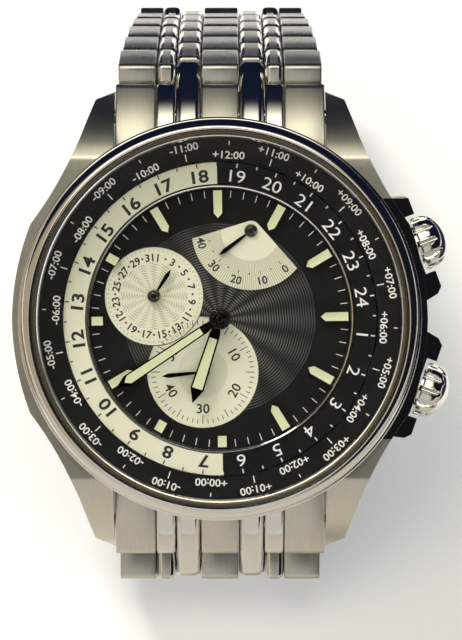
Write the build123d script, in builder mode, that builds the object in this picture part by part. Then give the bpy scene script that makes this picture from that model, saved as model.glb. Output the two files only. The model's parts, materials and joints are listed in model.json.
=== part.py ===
from build123d import *
from math import asin, atan2, cos, degrees, pi, radians, sin, sqrt
import os

os.makedirs("parts", exist_ok=True)

# World time watch on its closed steel bracelet, standing as it would on a table.
# Millimetres. +X is towards 3 o'clock, +Y is away from the viewer and +Z is up.
# The origin lies on the table, in the middle of the clasp cover's outer face.

# Clearances
running_gap = 0.05        # shaft in a hole that turns
slide_gap = 0.1           # flat faces that turn or slide past each other
side_gap = 0.12           # between neighbouring columns of two links
cut_over = 1.0            # how far a cut runs past the faces that it opens
post_flats = 8            # the small posts and arbors out of sight are drawn with flats

# Rings round the dial's axis, from the dial outwards
dial_r = 13.6
dial_ring_width = 0.26
day_ring_gap = 0.09
day_ring_width = 2.25
city_ring_gap = 0.15
city_ring_width = 2.35
seat_step = 0.6           # from the rings' seat in to the movement's bore
crystal_seat_width = 0.25
crystal_gasket_width = 0.6
bezel_lip = 0.3
bezel_slope_width = 0.9
bezel_overhang = 0.6      # of the bezel past the case's round shoulder
flank_width = 0.7         # of the case past the bezel at 3 and 9 o'clock
dial_rim_r = dial_r + dial_ring_width
day_ring_bore_r = dial_rim_r + day_ring_gap
day_ring_r = day_ring_bore_r + day_ring_width
city_ring_bore_r = day_ring_r + city_ring_gap
city_ring_r = city_ring_bore_r + city_ring_width
ring_seat_r = city_ring_r + slide_gap
movement_bore_r = ring_seat_r - seat_step
crystal_ledge_r = ring_seat_r + running_gap
crystal_r = crystal_ledge_r + crystal_seat_width
bezel_bore_r = crystal_r + crystal_gasket_width
bezel_top_r = bezel_bore_r + bezel_lip
bezel_r = bezel_top_r + bezel_slope_width
case_round_r = bezel_r - bezel_overhang
case_half_width = bezel_r + flank_width

# Case outline, seen square on to the dial: shares of the case's half width
flank_share = (0.984, 0.185)
corner_share = (0.912, 0.454)
waist_share = (0.773, 0.667)
lug_waist_share = (0.676, 0.870)
lug_tip_share = (0.606, 1.069)
lug_overhang = 2.4        # of the lugs' ends past the case's half width
lug_gap = 22.0            # bracelet width between the lugs
lug_side_gap = 0.08
lug_drop_run = 7.5        # from where the lug's top starts to fall to the lug's end

# Case, along the dial's normal, from the back face of the case back
back_thickness = 2.2
case_bottom_z = 1.3
case_top_z = 9.6
lug_bottom_z = 0.2
lug_top_z = 5.6
lug_tip_top_z = 3.4

# Crowns and their guards
crown_r = 2.9
crown_axis_z = 5.9
crown_stand_out = 1.7     # from the case's round shoulder to the crown's inner face
crown_length = 3.2
crown_dome = 0.6
crown_dome_taper = 45
crown_collar = 0.4
crown_flutes = 14
crown_land_share = 0.24   # half the width of a land, of the step between flutes
crown_groove_share = 0.38
flute_depth = 0.42
tube_r = 1.3
tube_flats = 12
stem_r = 0.6
ring_crown_angle = 20.5
winding_crown_angle = -19.0
guard_stand_out = 2.5
guard_half_width = 5.5
guard_gap = 0.25
guard_bottom_z = 3.4
guard_top_z = 8.4
guard_chamfer = 0.6

# Bezel and crystal
bezel_top_z = 11.9
bezel_shoulder_z = 10.3
crystal_bottom_z = 10.6
crystal_top_z = 12.4
crystal_bevel = 0.5
seal_flats = 48           # the two sealing rings are drawn with flats
back_seal_flats = 24

# Turning rings
city_ring_z = 9.0
city_ring_thickness = 0.7
day_ring_z = 8.7
day_ring_thickness = 0.6

# Dial and what stands on it; places and radii are shares of the dial's radius
seconds_at_share = (-0.130, -0.406)
seconds_dial_share = 0.423
date_at_share = (-0.502, 0.172)
date_dial_share = 0.3735
reserve_at_share = (0.236, 0.670)
reserve_fan_share = 0.4485
reserve_apex_share = 0.0735
reserve_first_angle = -50.6    # of the fan's first edge, from 3 o'clock, anticlockwise
reserve_span_angle = -131.4    # to its second edge
dial_z = 8.2
dial_thickness = 0.4
dial_ring_height = 0.9
subdial_thickness = 0.3
reserve_thickness = 0.15
marker_inset = 0.25
marker_width = 0.87
marker_long = 3.0
marker_short = 1.3
marker_height = 0.5
short_markers = (6, 7, 9, 10)

# Hands; angles are from 12 o'clock, anticlockwise
minute_length = 12.9
minute_tail = 2.2
minute_width = 1.25
minute_hand_angle = -236.2
minute_z = 9.75
hour_length = 9.2
hour_tail = 1.6
hour_width = 1.5
hour_hand_angle = -198.0
hour_z = 9.25
hand_thickness = 0.25
minute_post_r = 0.55
hour_pipe_r = 0.85
hub_r = 1.15
hub_height = 0.3
hub_flats = 20
hub_taper = 30
small_hand_z = 8.8
small_hand_thickness = 0.15
small_post_r = 0.25
small_boss_r = 0.55
small_hand_width = 0.4
seconds_length = 4.3
seconds_hand_angle = -264.0
date_length = 3.3
date_hand_angle = -32.5
reserve_length = 4.2
reserve_hand_angle = -232.6
small_tail_share = 0.28
hand_root_share = 0.45

# Movement; places and wheel radii are shares of the movement's radius
movement_over = 0.2       # of the movement's radius past the dial's
movement_flats = 24       # the plate, its holder and the bridge are drawn with flats
plate_z = 6.7
bridge_z = 3.9
bridge_thickness = 0.8
bridge_inset = 0.8
bridge_front_share = -0.507
bridge_pillars_share = ((0.688, 0.036), (-0.181, 0.783), (-0.833, -0.362))
pillar_r = 0.8
wheel_z = 5.0
wheel_thickness = 0.4
tooth_height = 0.35
tooth_width_share = 0.32  # of the step between teeth
arbor_r = 0.3
arbor_gap = 0.05
barrel_at_share = (-0.500, 0.297)
barrel_share = 0.377
barrel_height = 1.5
barrel_teeth = 24
centre_wheel_share = 0.152
centre_teeth = 16
third_at_share = (0.246, -0.304)
third_wheel_share = 0.174
third_teeth = 16
fourth_wheel_share = 0.159
fourth_teeth = 14
escape_at_share = (-0.406, -0.580)
escape_wheel_share = 0.116
escape_teeth = 10
pallet_at_share = (-0.217, -0.746)
pallet_span = 1.5
pallet_width = 0.5
balance_at_share = (0.130, -0.739)
balance_share = 0.232
balance_height = 0.5
balance_rim = 0.6
balance_flats = 16
spoke_width = 0.6
cock_foot_share = (0.543, -0.696)
cock_width = 3.0
rotor_inset = 0.6
rotor_z = 2.6
rotor_thickness = 0.45
rotor_weight_width = 2.6
rotor_weight_height = 0.9
rotor_hub_r = 2.4
rotor_post_r = 0.8
rotor_post_end_z = 2.8
stem_inset = 1.2          # of the winding stem's end from the movement's edge
pinion_teeth = 12
pinion_inset = 1.7        # of the ring pinion's inner face from the movement's bore
pinion_width = 1.3
pinion_tooth = 0.3
movement_r = dial_r + movement_over

# Case back
back_flange_z = 1.3
back_chamfer = 0.5
notch_width = 3.2
notch_depth = 1.4
back_notches = 6
back_gasket_height = 0.5
back_gasket_width = 0.9

# Bracelet
pitch = 7.6               # pivot to pivot along a link
link_thickness = 3.4
link_chamfer = 0.8
link_nose = 1.75          # from a pin's axis to the end of the column round it
finger_nose = 1.7
centre_width = 3.95
finger_width = 2.7
pin_reach = 2.95          # how far a pin stands out of a finger's side
clasp_width = 18.4
pin_r = 0.45
pivot_stand_out = 1.7     # of the first pivot past the lugs' ends
pivot_z = 2.6
end_link_bottom_z = 0.9
end_link_top_z = 4.9
end_link_inner_z = 7.6
end_link_depth = 3.8      # of the end link under the case's round shoulder
end_link_inset = 0.6      # of the end link's outer face from the lugs' ends
spring_bar_inset = 2.6
spring_bar_z = 2.5
spring_bar_r = 0.75
lug_hole_depth = 1.5
rear_slope_angles = (36.0, 38.0, 40.0, 42.0, 44.0, 94.0, 144.0)   # below horizontal
front_slope_angle = 48.6
front_flat_links = 3

# Clasp
cover_plate = 0.6
cover_wall = 0.7
cover_height = 3.1
cover_end_gap = 0.3
cover_ear_reach = 1.1
cover_chamfer = 0.3
blade_width = 11.0
blade_thickness = 0.8
outer_blade_z = 0.8
inner_blade_z = 2.2
cover_hinge_in = 4.4      # cover hinge from the front pivot
cover_hinge_z = 1.4
cover_eye_r = 0.7
blade_hinge_in = 5.2      # blade hinge from the rear pivot
blade_hinge_z = 1.9
blade_eye_r = 1.1
hinge_pin_r = 0.35
knuckle_width = 2.4
inner_eye_r = 1.2

# Where everything stands: the bracelet's links reach the table at the front and the rear,
# and that sets how far the head leans back.
half_link = link_thickness / 2
lug_end_y = case_half_width + lug_overhang
lug_drop_y = lug_end_y - lug_drop_run
pivot_r = lug_end_y + pivot_stand_out
spring_bar_y = lug_end_y - spring_bar_inset
end_link_outer_y = lug_end_y - end_link_inset
crown_foot_r = case_round_r + crown_stand_out
guard_reach = case_round_r + guard_stand_out
front_pivot_h = half_link + pitch * sin(radians(front_slope_angle))
rear_pivot_h = half_link + pitch * sum(sin(radians(slope)) for slope in rear_slope_angles)
lean = asin((rear_pivot_h - front_pivot_h) / (2 * pivot_r))
head_run = 2 * pivot_r * cos(lean)
rear_run = pitch * sum(cos(radians(slope)) for slope in rear_slope_angles)
front_clasp_run = pitch * (cos(radians(front_slope_angle)) + front_flat_links)
clasp_length = head_run + rear_run - front_clasp_run
front_pivot_y = -front_clasp_run - clasp_length / 2

head_up = Vector(0, cos(lean), sin(lean))
head_out = Vector(0, -sin(lean), cos(lean))
front_pivot = Vector(0, front_pivot_y, front_pivot_h)
head_origin = front_pivot + head_up * pivot_r - head_out * pivot_z
head = Plane(origin=head_origin, x_dir=(1, 0, 0), z_dir=head_out)
head_section = Plane(origin=head_origin, x_dir=(1, 0, 0), z_dir=head_up * -1)
head_side = Plane(origin=head_origin, x_dir=head_up, z_dir=(1, 0, 0))
head_axis = Axis(head_origin, head_out)


def save(piece, label):
    """Name a finished piece and write it."""
    piece.part.label = label
    export_step(piece.part, f"parts/{label}.step")


def crown_plane(angle, reach):
    """A plane square to a crown's axis, its normal pointing out of the case."""
    outward = head.x_dir * cos(radians(angle)) + head.y_dir * sin(radians(angle))
    origin = head_origin + head_out * crown_axis_z + outward * reach
    return Plane(origin=origin, x_dir=head_out, z_dir=outward)


def ring_piece(label, outer_r, inner_r, bottom_z, thickness):
    """A flat ring round the dial's axis."""
    with BuildPart() as piece:
        with BuildSketch(head.offset(bottom_z)):
            Circle(outer_r)
            Circle(inner_r, mode=Mode.SUBTRACT)
        extrude(amount=thickness)
    save(piece, label)


def seal_piece(label, outer_r, inner_r, bottom_z, thickness, flats):
    """A sealing ring with flats, clear of the round pieces on either side of it."""
    with BuildPart() as piece:
        with BuildSketch(head.offset(bottom_z)):
            RegularPolygon(outer_r, flats)
            RegularPolygon(inner_r, flats, major_radius=False, mode=Mode.SUBTRACT)
        extrude(amount=thickness)
    save(piece, label)


def share_point(share, size):
    """A place given as shares of a size."""
    return share[0] * size, share[1] * size


def flat_hole(radius, mode=Mode.SUBTRACT):
    """A hole with flats, just clear of a post of the given radius."""
    return RegularPolygon(radius + running_gap, post_flats, major_radius=False, mode=mode)


# Mid-case: the outline of one quarter, mirrored, cut to the lugs' side profile
with BuildPart() as mid_case:
    lug_inner_x = lug_gap / 2 + lug_side_gap
    lug_root_y = sqrt(case_round_r ** 2 - lug_inner_x ** 2)
    with BuildSketch(head.offset(lug_bottom_z)):
        with BuildLine():
            flank, corner, waist, lug_waist, lug_tip = [
                share_point(share, case_half_width)
                for share in (flank_share, corner_share, waist_share, lug_waist_share, lug_tip_share)
            ]
            ThreePointArc((case_half_width, 0), flank, corner)
            ThreePointArc(corner, waist, lug_waist)
            Line(lug_waist, lug_tip)
            Line(lug_tip, (lug_inner_x, lug_end_y))
            Line((lug_inner_x, lug_end_y), (lug_inner_x, lug_root_y))
            RadiusArc((lug_inner_x, lug_root_y), (0, case_round_r), case_round_r, short_sagitta=True)
            Line((0, case_round_r), (0, 0))
            Line((0, 0), (case_half_width, 0))
        make_face()
        mirror(about=Plane.XZ)
        mirror(about=Plane.YZ)
    extrude(amount=case_top_z - lug_bottom_z)
    with BuildSketch(head_side.offset(-case_half_width - cut_over)):
        with BuildLine():
            Polyline(
                (0, case_bottom_z), (lug_drop_y, case_bottom_z), (lug_end_y, lug_bottom_z),
                (lug_end_y + cut_over, lug_bottom_z), (lug_end_y + cut_over, lug_tip_top_z),
                (lug_end_y, lug_tip_top_z),
            )
            ThreePointArc(
                (lug_end_y, lug_tip_top_z),
                ((lug_drop_y + lug_end_y) / 2, (lug_top_z + case_top_z) / 2),
                (lug_drop_y, case_top_z),
            )
            Polyline((lug_drop_y, case_top_z), (0, case_top_z), (0, case_bottom_z))
        make_face()
        mirror(about=Plane.YZ)
    extrude(amount=2 * (case_half_width + cut_over), mode=Mode.INTERSECT)
    guard_out = guard_reach - case_round_r
    guard_step = crown_foot_r - case_round_r - guard_gap
    guard_slot = crown_r + guard_gap
    with BuildSketch(head.offset(guard_bottom_z)):
        for angle in (ring_crown_angle, winding_crown_angle):
            with PolarLocations(case_round_r, 1, start_angle=angle):
                Polygon(
                    (-cut_over, guard_half_width + guard_chamfer),
                    (guard_out - guard_chamfer, guard_half_width),
                    (guard_out, guard_half_width - guard_chamfer),
                    (guard_out, guard_slot),
                    (guard_step, guard_slot),
                    (guard_step, -guard_slot),
                    (guard_out, -guard_slot),
                    (guard_out, guard_chamfer - guard_half_width),
                    (guard_out - guard_chamfer, -guard_half_width),
                    (-cut_over, -guard_half_width - guard_chamfer),
                    align=None,
                )
    extrude(amount=guard_top_z - guard_bottom_z)
    with BuildSketch(head):
        Circle(movement_bore_r)
    extrude(amount=case_top_z, mode=Mode.SUBTRACT)
    with BuildSketch(head.offset(city_ring_z - slide_gap)):
        Circle(ring_seat_r)
    extrude(amount=case_top_z - city_ring_z + slide_gap, mode=Mode.SUBTRACT)
    for angle in (ring_crown_angle, winding_crown_angle):
        with BuildSketch(crown_plane(angle, ring_seat_r - cut_over)):
            RegularPolygon(tube_r, tube_flats)
        extrude(amount=crown_foot_r - ring_seat_r + cut_over, mode=Mode.SUBTRACT)
        with BuildSketch(crown_plane(angle, crown_foot_r - guard_gap)):
            Rectangle(2 * guard_slot, 2 * guard_slot)
        extrude(amount=guard_reach - crown_foot_r + cut_over, mode=Mode.SUBTRACT)
    for side in (-1, 1):
        with BuildSketch(head_side.offset(-lug_inner_x - lug_hole_depth)):
            with Locations((side * spring_bar_y, spring_bar_z)):
                flat_hole(spring_bar_r, Mode.ADD)
        extrude(amount=2 * (lug_inner_x + lug_hole_depth), mode=Mode.SUBTRACT)
save(mid_case, "mid_case")
print("mid-case", mid_case.part.volume)

# Bezel, its gasket and the crystal
with BuildPart() as bezel:
    with BuildSketch(head_section):
        Polygon(
            (crystal_ledge_r, case_top_z),
            (bezel_r, case_top_z),
            (bezel_r, bezel_shoulder_z),
            (bezel_top_r, bezel_top_z),
            (bezel_bore_r, bezel_top_z),
            (bezel_bore_r, crystal_bottom_z),
            (crystal_ledge_r, crystal_bottom_z),
            align=None,
        )
    revolve(axis=head_axis)
save(bezel, "bezel")

with BuildPart() as crystal:
    with BuildSketch(head.offset(crystal_bottom_z)):
        Circle(crystal_r)
    extrude(amount=crystal_top_z - crystal_bottom_z)
    chamfer(crystal.edges().group_by(head_axis)[-1], crystal_bevel)
save(crystal, "crystal")

seal_piece("crystal_gasket", bezel_bore_r, crystal_r, crystal_bottom_z,
           bezel_top_z - crystal_bottom_z, seal_flats)

# Case back, with notches for the case key, and its gasket
back_r = movement_bore_r - running_gap
with BuildPart() as case_back:
    with BuildSketch(head):
        Circle(back_r)
    extrude(amount=back_thickness)
    chamfer(case_back.edges().group_by(head_axis)[0], back_chamfer)
    with BuildSketch(head):
        with PolarLocations(back_r, back_notches):
            Rectangle(notch_depth * 2, notch_width)
    extrude(amount=back_flange_z, mode=Mode.SUBTRACT)
save(case_back, "case_back")

seal_piece("case_back_gasket", back_r, back_r - back_gasket_width, back_thickness,
           back_gasket_height, back_seal_flats)

# Turning rings, the dial and its steel rim
ring_piece("city_ring", city_ring_r, city_ring_bore_r, city_ring_z, city_ring_thickness)
ring_piece("day_ring", day_ring_r, day_ring_bore_r, day_ring_z, day_ring_thickness)
ring_piece("dial_rim", dial_rim_r, dial_r, dial_z, dial_ring_height)

seconds_at = share_point(seconds_at_share, dial_r)
date_at = share_point(date_at_share, dial_r)
reserve_at = share_point(reserve_at_share, dial_r)
seconds_dial_r = seconds_dial_share * dial_r
date_dial_r = date_dial_share * dial_r
reserve_reaches = (reserve_apex_share * dial_r, reserve_fan_share * dial_r)
marker_outer_r = dial_r - marker_inset

with BuildPart() as dial:
    with BuildSketch(head.offset(dial_z)):
        Circle(dial_r)
        Circle(hour_pipe_r + running_gap, mode=Mode.SUBTRACT)
        with Locations(seconds_at):
            Circle(seconds_dial_r + running_gap, mode=Mode.SUBTRACT)
        with Locations(date_at):
            Circle(date_dial_r + running_gap, mode=Mode.SUBTRACT)
        with Locations(reserve_at):
            flat_hole(small_post_r)
    extrude(amount=dial_thickness)
save(dial, "dial")

with BuildPart() as seconds_dial:
    with BuildSketch(head.offset(dial_z)):
        with Locations(seconds_at):
            Circle(seconds_dial_r)
            flat_hole(small_post_r)
        with Locations(date_at):
            Circle(date_dial_r + 2 * running_gap, mode=Mode.SUBTRACT)
        Circle(hour_pipe_r + running_gap, mode=Mode.SUBTRACT)
    extrude(amount=subdial_thickness)
save(seconds_dial, "seconds_dial")

with BuildPart() as date_dial:
    with BuildSketch(head.offset(dial_z)):
        with Locations(date_at):
            Circle(date_dial_r)
            flat_hole(small_post_r)
    extrude(amount=subdial_thickness)
save(date_dial, "date_dial")

# Power reserve fan: a sector of a ring round its own hand
with BuildPart() as reserve_fan:
    with BuildSketch(head.offset(dial_z + dial_thickness)):
        fan_points = [
            (
                reserve_at[0] + reach * cos(radians(reserve_first_angle + share * reserve_span_angle)),
                reserve_at[1] + reach * sin(radians(reserve_first_angle + share * reserve_span_angle)),
            )
            for reach in reserve_reaches
            for share in (0, 0.5, 1)
        ]
        with BuildLine():
            ThreePointArc(*fan_points[:3])
            Line(fan_points[2], fan_points[5])
            ThreePointArc(*fan_points[:2:-1])
            Line(fan_points[3], fan_points[0])
        make_face()
    extrude(amount=reserve_thickness)
save(reserve_fan, "reserve_fan")

# Applied hour markers: pointed batons and short blocks
with BuildPart() as hour_markers:
    with BuildSketch(head.offset(dial_z + dial_thickness)):
        for hour in range(1, 13):
            length = marker_short if hour in short_markers else marker_long
            point = 0 if hour in short_markers else marker_width / 2
            with PolarLocations(marker_outer_r, 1, start_angle=90 - 30 * hour):
                Polygon(
                    (0, -marker_width / 2),
                    (0, marker_width / 2),
                    (point - length, marker_width / 2),
                    (-length, 0),
                    (point - length, -marker_width / 2),
                    align=None,
                )
    extrude(amount=marker_height)
save(hour_markers, "hour_markers")


def hand_piece(label, centre, turn, length, tail, width, z, thickness, boss_r, post_r, post_z):
    """A pointed hand with its tail, its boss and the post that carries it."""
    with BuildPart() as piece:
        with BuildSketch(head.offset(z)):
            with Locations(Location((centre[0], centre[1], 0), (0, 0, turn))):
                Polygon(
                    (-width * hand_root_share, -tail),
                    (width * hand_root_share, -tail),
                    (width / 2, length - width),
                    (0, length),
                    (-width / 2, length - width),
                    align=None,
                )
            with Locations(centre):
                Circle(boss_r)
        extrude(amount=thickness)
        with BuildSketch(head.offset(post_z)):
            with Locations(centre):
                RegularPolygon(post_r, post_flats)
        extrude(amount=z - post_z)
        if label == "hour_hand":
            with BuildSketch(head.offset(post_z)):
                flat_hole(minute_post_r, Mode.ADD)
            extrude(amount=z + thickness - post_z, mode=Mode.SUBTRACT)
        if label == "minute_hand":
            with BuildSketch(head.offset(z + thickness)):
                RegularPolygon(hub_r, hub_flats)
            extrude(amount=hub_height, taper=hub_taper)
    save(piece, label)


hand_piece("hour_hand", (0, 0), hour_hand_angle, hour_length, hour_tail, hour_width,
           hour_z, hand_thickness, hub_r, hour_pipe_r, dial_z + running_gap)
hand_piece("minute_hand", (0, 0), minute_hand_angle, minute_length, minute_tail, minute_width,
           minute_z, hand_thickness, hub_r, minute_post_r, wheel_z + wheel_thickness + slide_gap)
hand_piece("seconds_hand", seconds_at, seconds_hand_angle, seconds_length,
           seconds_length * small_tail_share, small_hand_width, small_hand_z,
           small_hand_thickness, small_boss_r, small_post_r, wheel_z + wheel_thickness)
hand_piece("date_hand", date_at, date_hand_angle, date_length,
           date_length * small_tail_share, small_hand_width, small_hand_z,
           small_hand_thickness, small_boss_r, small_post_r, dial_z + running_gap)
hand_piece("reserve_hand", reserve_at, reserve_hand_angle, reserve_length,
           reserve_length * small_tail_share, small_hand_width, small_hand_z,
           small_hand_thickness, small_boss_r, small_post_r, dial_z + running_gap)
print("dial side done")

# Movement: holder, plate, train, bridges and rotor
holder_r = day_ring_r
holder_bore_r = movement_r + slide_gap
holder_top_z = day_ring_z - slide_gap
stem_inner_r = movement_r - stem_inset
pinion_inner_r = movement_bore_r - pinion_inset
barrel_at, third_at, escape_at, pallet_at, balance_at, cock_foot = [
    share_point(share, movement_r)
    for share in (barrel_at_share, third_at_share, escape_at_share, pallet_at_share,
                  balance_at_share, cock_foot_share)
]
balance_r = balance_share * movement_r
bridge_r = movement_r - bridge_inset
rotor_r = movement_r - rotor_inset
plate_under_z = plate_z - arbor_gap
arbor_start_z = bridge_z + bridge_thickness + arbor_gap
bridge_top_z = bridge_z + bridge_thickness

with BuildPart() as movement_holder:
    with BuildSketch(head.offset(back_thickness)):
        RegularPolygon(holder_r, movement_flats)
        RegularPolygon(holder_bore_r, movement_flats, major_radius=False, mode=Mode.SUBTRACT)
    extrude(amount=holder_top_z - back_thickness)
    with BuildSketch(crown_plane(winding_crown_angle, stem_inner_r)):
        flat_hole(stem_r, Mode.ADD)
    extrude(amount=crown_foot_r - stem_inner_r, mode=Mode.SUBTRACT)
save(movement_holder, "movement_holder")

with BuildPart() as main_plate:
    with BuildSketch(head.offset(plate_z)):
        RegularPolygon(movement_r, movement_flats)
        flat_hole(minute_post_r)
        with Locations(seconds_at):
            flat_hole(small_post_r)
    extrude(amount=dial_z - plate_z)
save(main_plate, "main_plate")


def wheel_piece(label, centre, root_share, teeth, thickness, arbor_top_z):
    """A toothed wheel on its arbor, between the bridge and the plate."""
    root_r = root_share * movement_r
    with BuildPart() as piece:
        with BuildSketch(head.offset(wheel_z)):
            with Locations(centre):
                Circle(root_r)
                with PolarLocations(root_r, teeth):
                    Rectangle(2 * tooth_height, tooth_width_share * 2 * pi * root_r / teeth)
        extrude(amount=thickness)
        with BuildSketch(head.offset(arbor_start_z)):
            with Locations(centre):
                RegularPolygon(arbor_r, post_flats)
        extrude(amount=arbor_top_z - arbor_start_z)
    save(piece, label)


wheel_piece("mainspring_barrel", barrel_at, barrel_share, barrel_teeth, barrel_height, plate_under_z)
wheel_piece("centre_wheel", (0, 0), centre_wheel_share, centre_teeth, wheel_thickness,
            wheel_z + wheel_thickness)
wheel_piece("third_wheel", third_at, third_wheel_share, third_teeth, wheel_thickness, plate_under_z)
wheel_piece("fourth_wheel", seconds_at, fourth_wheel_share, fourth_teeth, wheel_thickness,
            wheel_z + wheel_thickness)
wheel_piece("escape_wheel", escape_at, escape_wheel_share, escape_teeth, wheel_thickness, plate_under_z)

with BuildPart() as pallet_lever:
    with BuildSketch(head.offset(wheel_z)):
        with Locations(pallet_at):
            Rectangle(2 * pallet_span, pallet_width)
            Rectangle(pallet_width, pallet_span, align=(Align.CENTER, Align.MAX))
    extrude(amount=wheel_thickness)
    with BuildSketch(head.offset(arbor_start_z)):
        with Locations(pallet_at):
            Circle(arbor_r)
    extrude(amount=plate_under_z - arbor_start_z)
save(pallet_lever, "pallet_lever")

with BuildPart() as balance_wheel:
    with BuildSketch(head.offset(wheel_z + wheel_thickness)):
        with Locations(balance_at):
            Circle(balance_r)
            RegularPolygon(balance_r - balance_rim, balance_flats, mode=Mode.SUBTRACT)
            Rectangle(2 * balance_r - balance_rim, spoke_width)
    extrude(amount=balance_height)
    with BuildSketch(head.offset(arbor_start_z)):
        with Locations(balance_at):
            RegularPolygon(arbor_r, post_flats)
    extrude(amount=plate_under_z - arbor_start_z)
save(balance_wheel, "balance_wheel")

with BuildPart() as train_bridge:
    with BuildSketch(head.offset(bridge_z)):
        RegularPolygon(bridge_r, movement_flats)
        with Locations((0, bridge_front_share * movement_r)):
            Rectangle(2 * bridge_r, bridge_r, align=(Align.CENTER, Align.MAX), mode=Mode.SUBTRACT)
    extrude(amount=bridge_thickness)
    with BuildSketch(head.offset(bridge_top_z)):
        with Locations([share_point(share, movement_r) for share in bridge_pillars_share]):
            RegularPolygon(pillar_r, post_flats)
    extrude(amount=plate_z - bridge_top_z)
    with BuildSketch(head.offset(bridge_z)):
        RegularPolygon(rotor_post_r, post_flats)
    extrude(amount=rotor_post_end_z - bridge_z)
save(train_bridge, "train_bridge")

with BuildPart() as balance_cock:
    cock_run = (cock_foot[0] - balance_at[0], cock_foot[1] - balance_at[1])
    cock_length = sqrt(cock_run[0] ** 2 + cock_run[1] ** 2)
    cock_turn = degrees(atan2(cock_run[1], cock_run[0]))
    with BuildSketch(head.offset(bridge_z)):
        with Locations(Location((balance_at[0], balance_at[1], 0), (0, 0, cock_turn))):
            with Locations((cock_length / 2, 0)):
                Rectangle(cock_length + 2 * pillar_r, cock_width)
    extrude(amount=bridge_thickness)
    with BuildSketch(head.offset(bridge_top_z)):
        with Locations(cock_foot):
            RegularPolygon(pillar_r, post_flats)
    extrude(amount=plate_z - bridge_top_z)
save(balance_cock, "balance_cock")

with BuildPart() as rotor:
    for thickness, inner_r in ((rotor_thickness, 0), (rotor_weight_height, rotor_r - rotor_weight_width)):
        with BuildSketch(head.offset(rotor_z)):
            RegularPolygon(rotor_r, movement_flats)
            if inner_r > 0:
                RegularPolygon(inner_r, movement_flats, mode=Mode.SUBTRACT)
            with Locations((0, rotor_post_r)):
                Rectangle(2 * rotor_r, rotor_r, align=(Align.CENTER, Align.MIN), mode=Mode.SUBTRACT)
        extrude(amount=thickness)
    with BuildSketch(head.offset(rotor_z)):
        Circle(rotor_hub_r)
    extrude(amount=rotor_thickness)
    with BuildSketch(head.offset(rotor_z)):
        flat_hole(rotor_post_r, Mode.ADD)
    extrude(amount=rotor_thickness, mode=Mode.SUBTRACT)
save(rotor, "rotor")

# Crowns, their stems and tubes, and the pinion under the city ring
with BuildPart() as crown_tubes:
    for angle in (ring_crown_angle, winding_crown_angle):
        with BuildSketch(crown_plane(angle, movement_bore_r + slide_gap)):
            RegularPolygon(tube_r, tube_flats)
            flat_hole(stem_r)
        extrude(amount=crown_foot_r - guard_gap - movement_bore_r - slide_gap)
save(crown_tubes, "crown_tubes")

pinion_r = city_ring_z - crown_axis_z - slide_gap - pinion_tooth
for label, angle, inner_reach in (
    ("ring_stem", ring_crown_angle, pinion_inner_r),
    ("winding_stem", winding_crown_angle, stem_inner_r),
):
    with BuildPart() as stem:
        with BuildSketch(crown_plane(angle, inner_reach)):
            RegularPolygon(stem_r, post_flats)
        extrude(amount=crown_foot_r - inner_reach)
        if label == "ring_stem":
            with BuildSketch(crown_plane(angle, pinion_inner_r)):
                RegularPolygon(pinion_r, 2 * pinion_teeth)
                with PolarLocations(pinion_r, pinion_teeth):
                    Rectangle(2 * pinion_tooth, tooth_width_share * 2 * pi * pinion_r / pinion_teeth)
            extrude(amount=pinion_width)
    save(stem, label)

# A crown: a round foot, a body with straight-sided flutes and a domed end
flute_step = 360 / crown_flutes
flute_floor_r = crown_r - flute_depth
for label, angle in (("ring_crown", ring_crown_angle), ("winding_crown", winding_crown_angle)):
    with BuildPart() as crown:
        with BuildSketch(crown_plane(angle, crown_foot_r)):
            Circle(flute_floor_r - crown_dome)
        extrude(amount=crown_collar)
        with BuildSketch(crown_plane(angle, crown_foot_r + crown_collar)):
            Polygon(
                *[
                    (reach * cos(radians(turn * flute_step)), reach * sin(radians(turn * flute_step)))
                    for index in range(crown_flutes)
                    for reach, turn in (
                        (crown_r, index - crown_land_share),
                        (crown_r, index + crown_land_share),
                        (flute_floor_r, index + crown_groove_share),
                        (flute_floor_r, index + 1 - crown_groove_share),
                    )
                ],
                align=None,
            )
        extrude(amount=crown_length - crown_collar - crown_dome)
        with BuildSketch(crown_plane(angle, crown_foot_r + crown_length - crown_dome)):
            RegularPolygon(flute_floor_r, crown_flutes)
        extrude(amount=crown_dome, taper=crown_dome_taper)
    save(crown, label)
print("movement done")

# Bracelet. Every link is a row of columns with two fingers that reach to the next row's pin.
half_centre = centre_width / 2
finger_outer_x = half_centre + finger_width
finger_from_x = half_centre + side_gap
finger_to_x = finger_outer_x - side_gap
pin_start_x = finger_from_x + side_gap
pin_end_x = finger_to_x + pin_reach
side_pins = ((-pin_end_x, -pin_start_x), (pin_start_x, pin_end_x))
clasp_pin = ((-pin_start_x, pin_start_x),)


def link_plane(pivot, along, lateral):
    """The plane in which a link's side profile is drawn."""
    return Plane(origin=pivot, x_dir=along, z_dir=lateral)


def bar_profile(start, end, half_height, chamfer_size):
    """Side profile of a column: a bar with chamfered corners."""
    return Polygon(
        (start, half_height - chamfer_size), (start + chamfer_size, half_height),
        (end - chamfer_size, half_height), (end, half_height - chamfer_size),
        (end, chamfer_size - half_height), (end - chamfer_size, -half_height),
        (start + chamfer_size, -half_height), (start, chamfer_size - half_height),
        align=None,
    )


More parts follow.
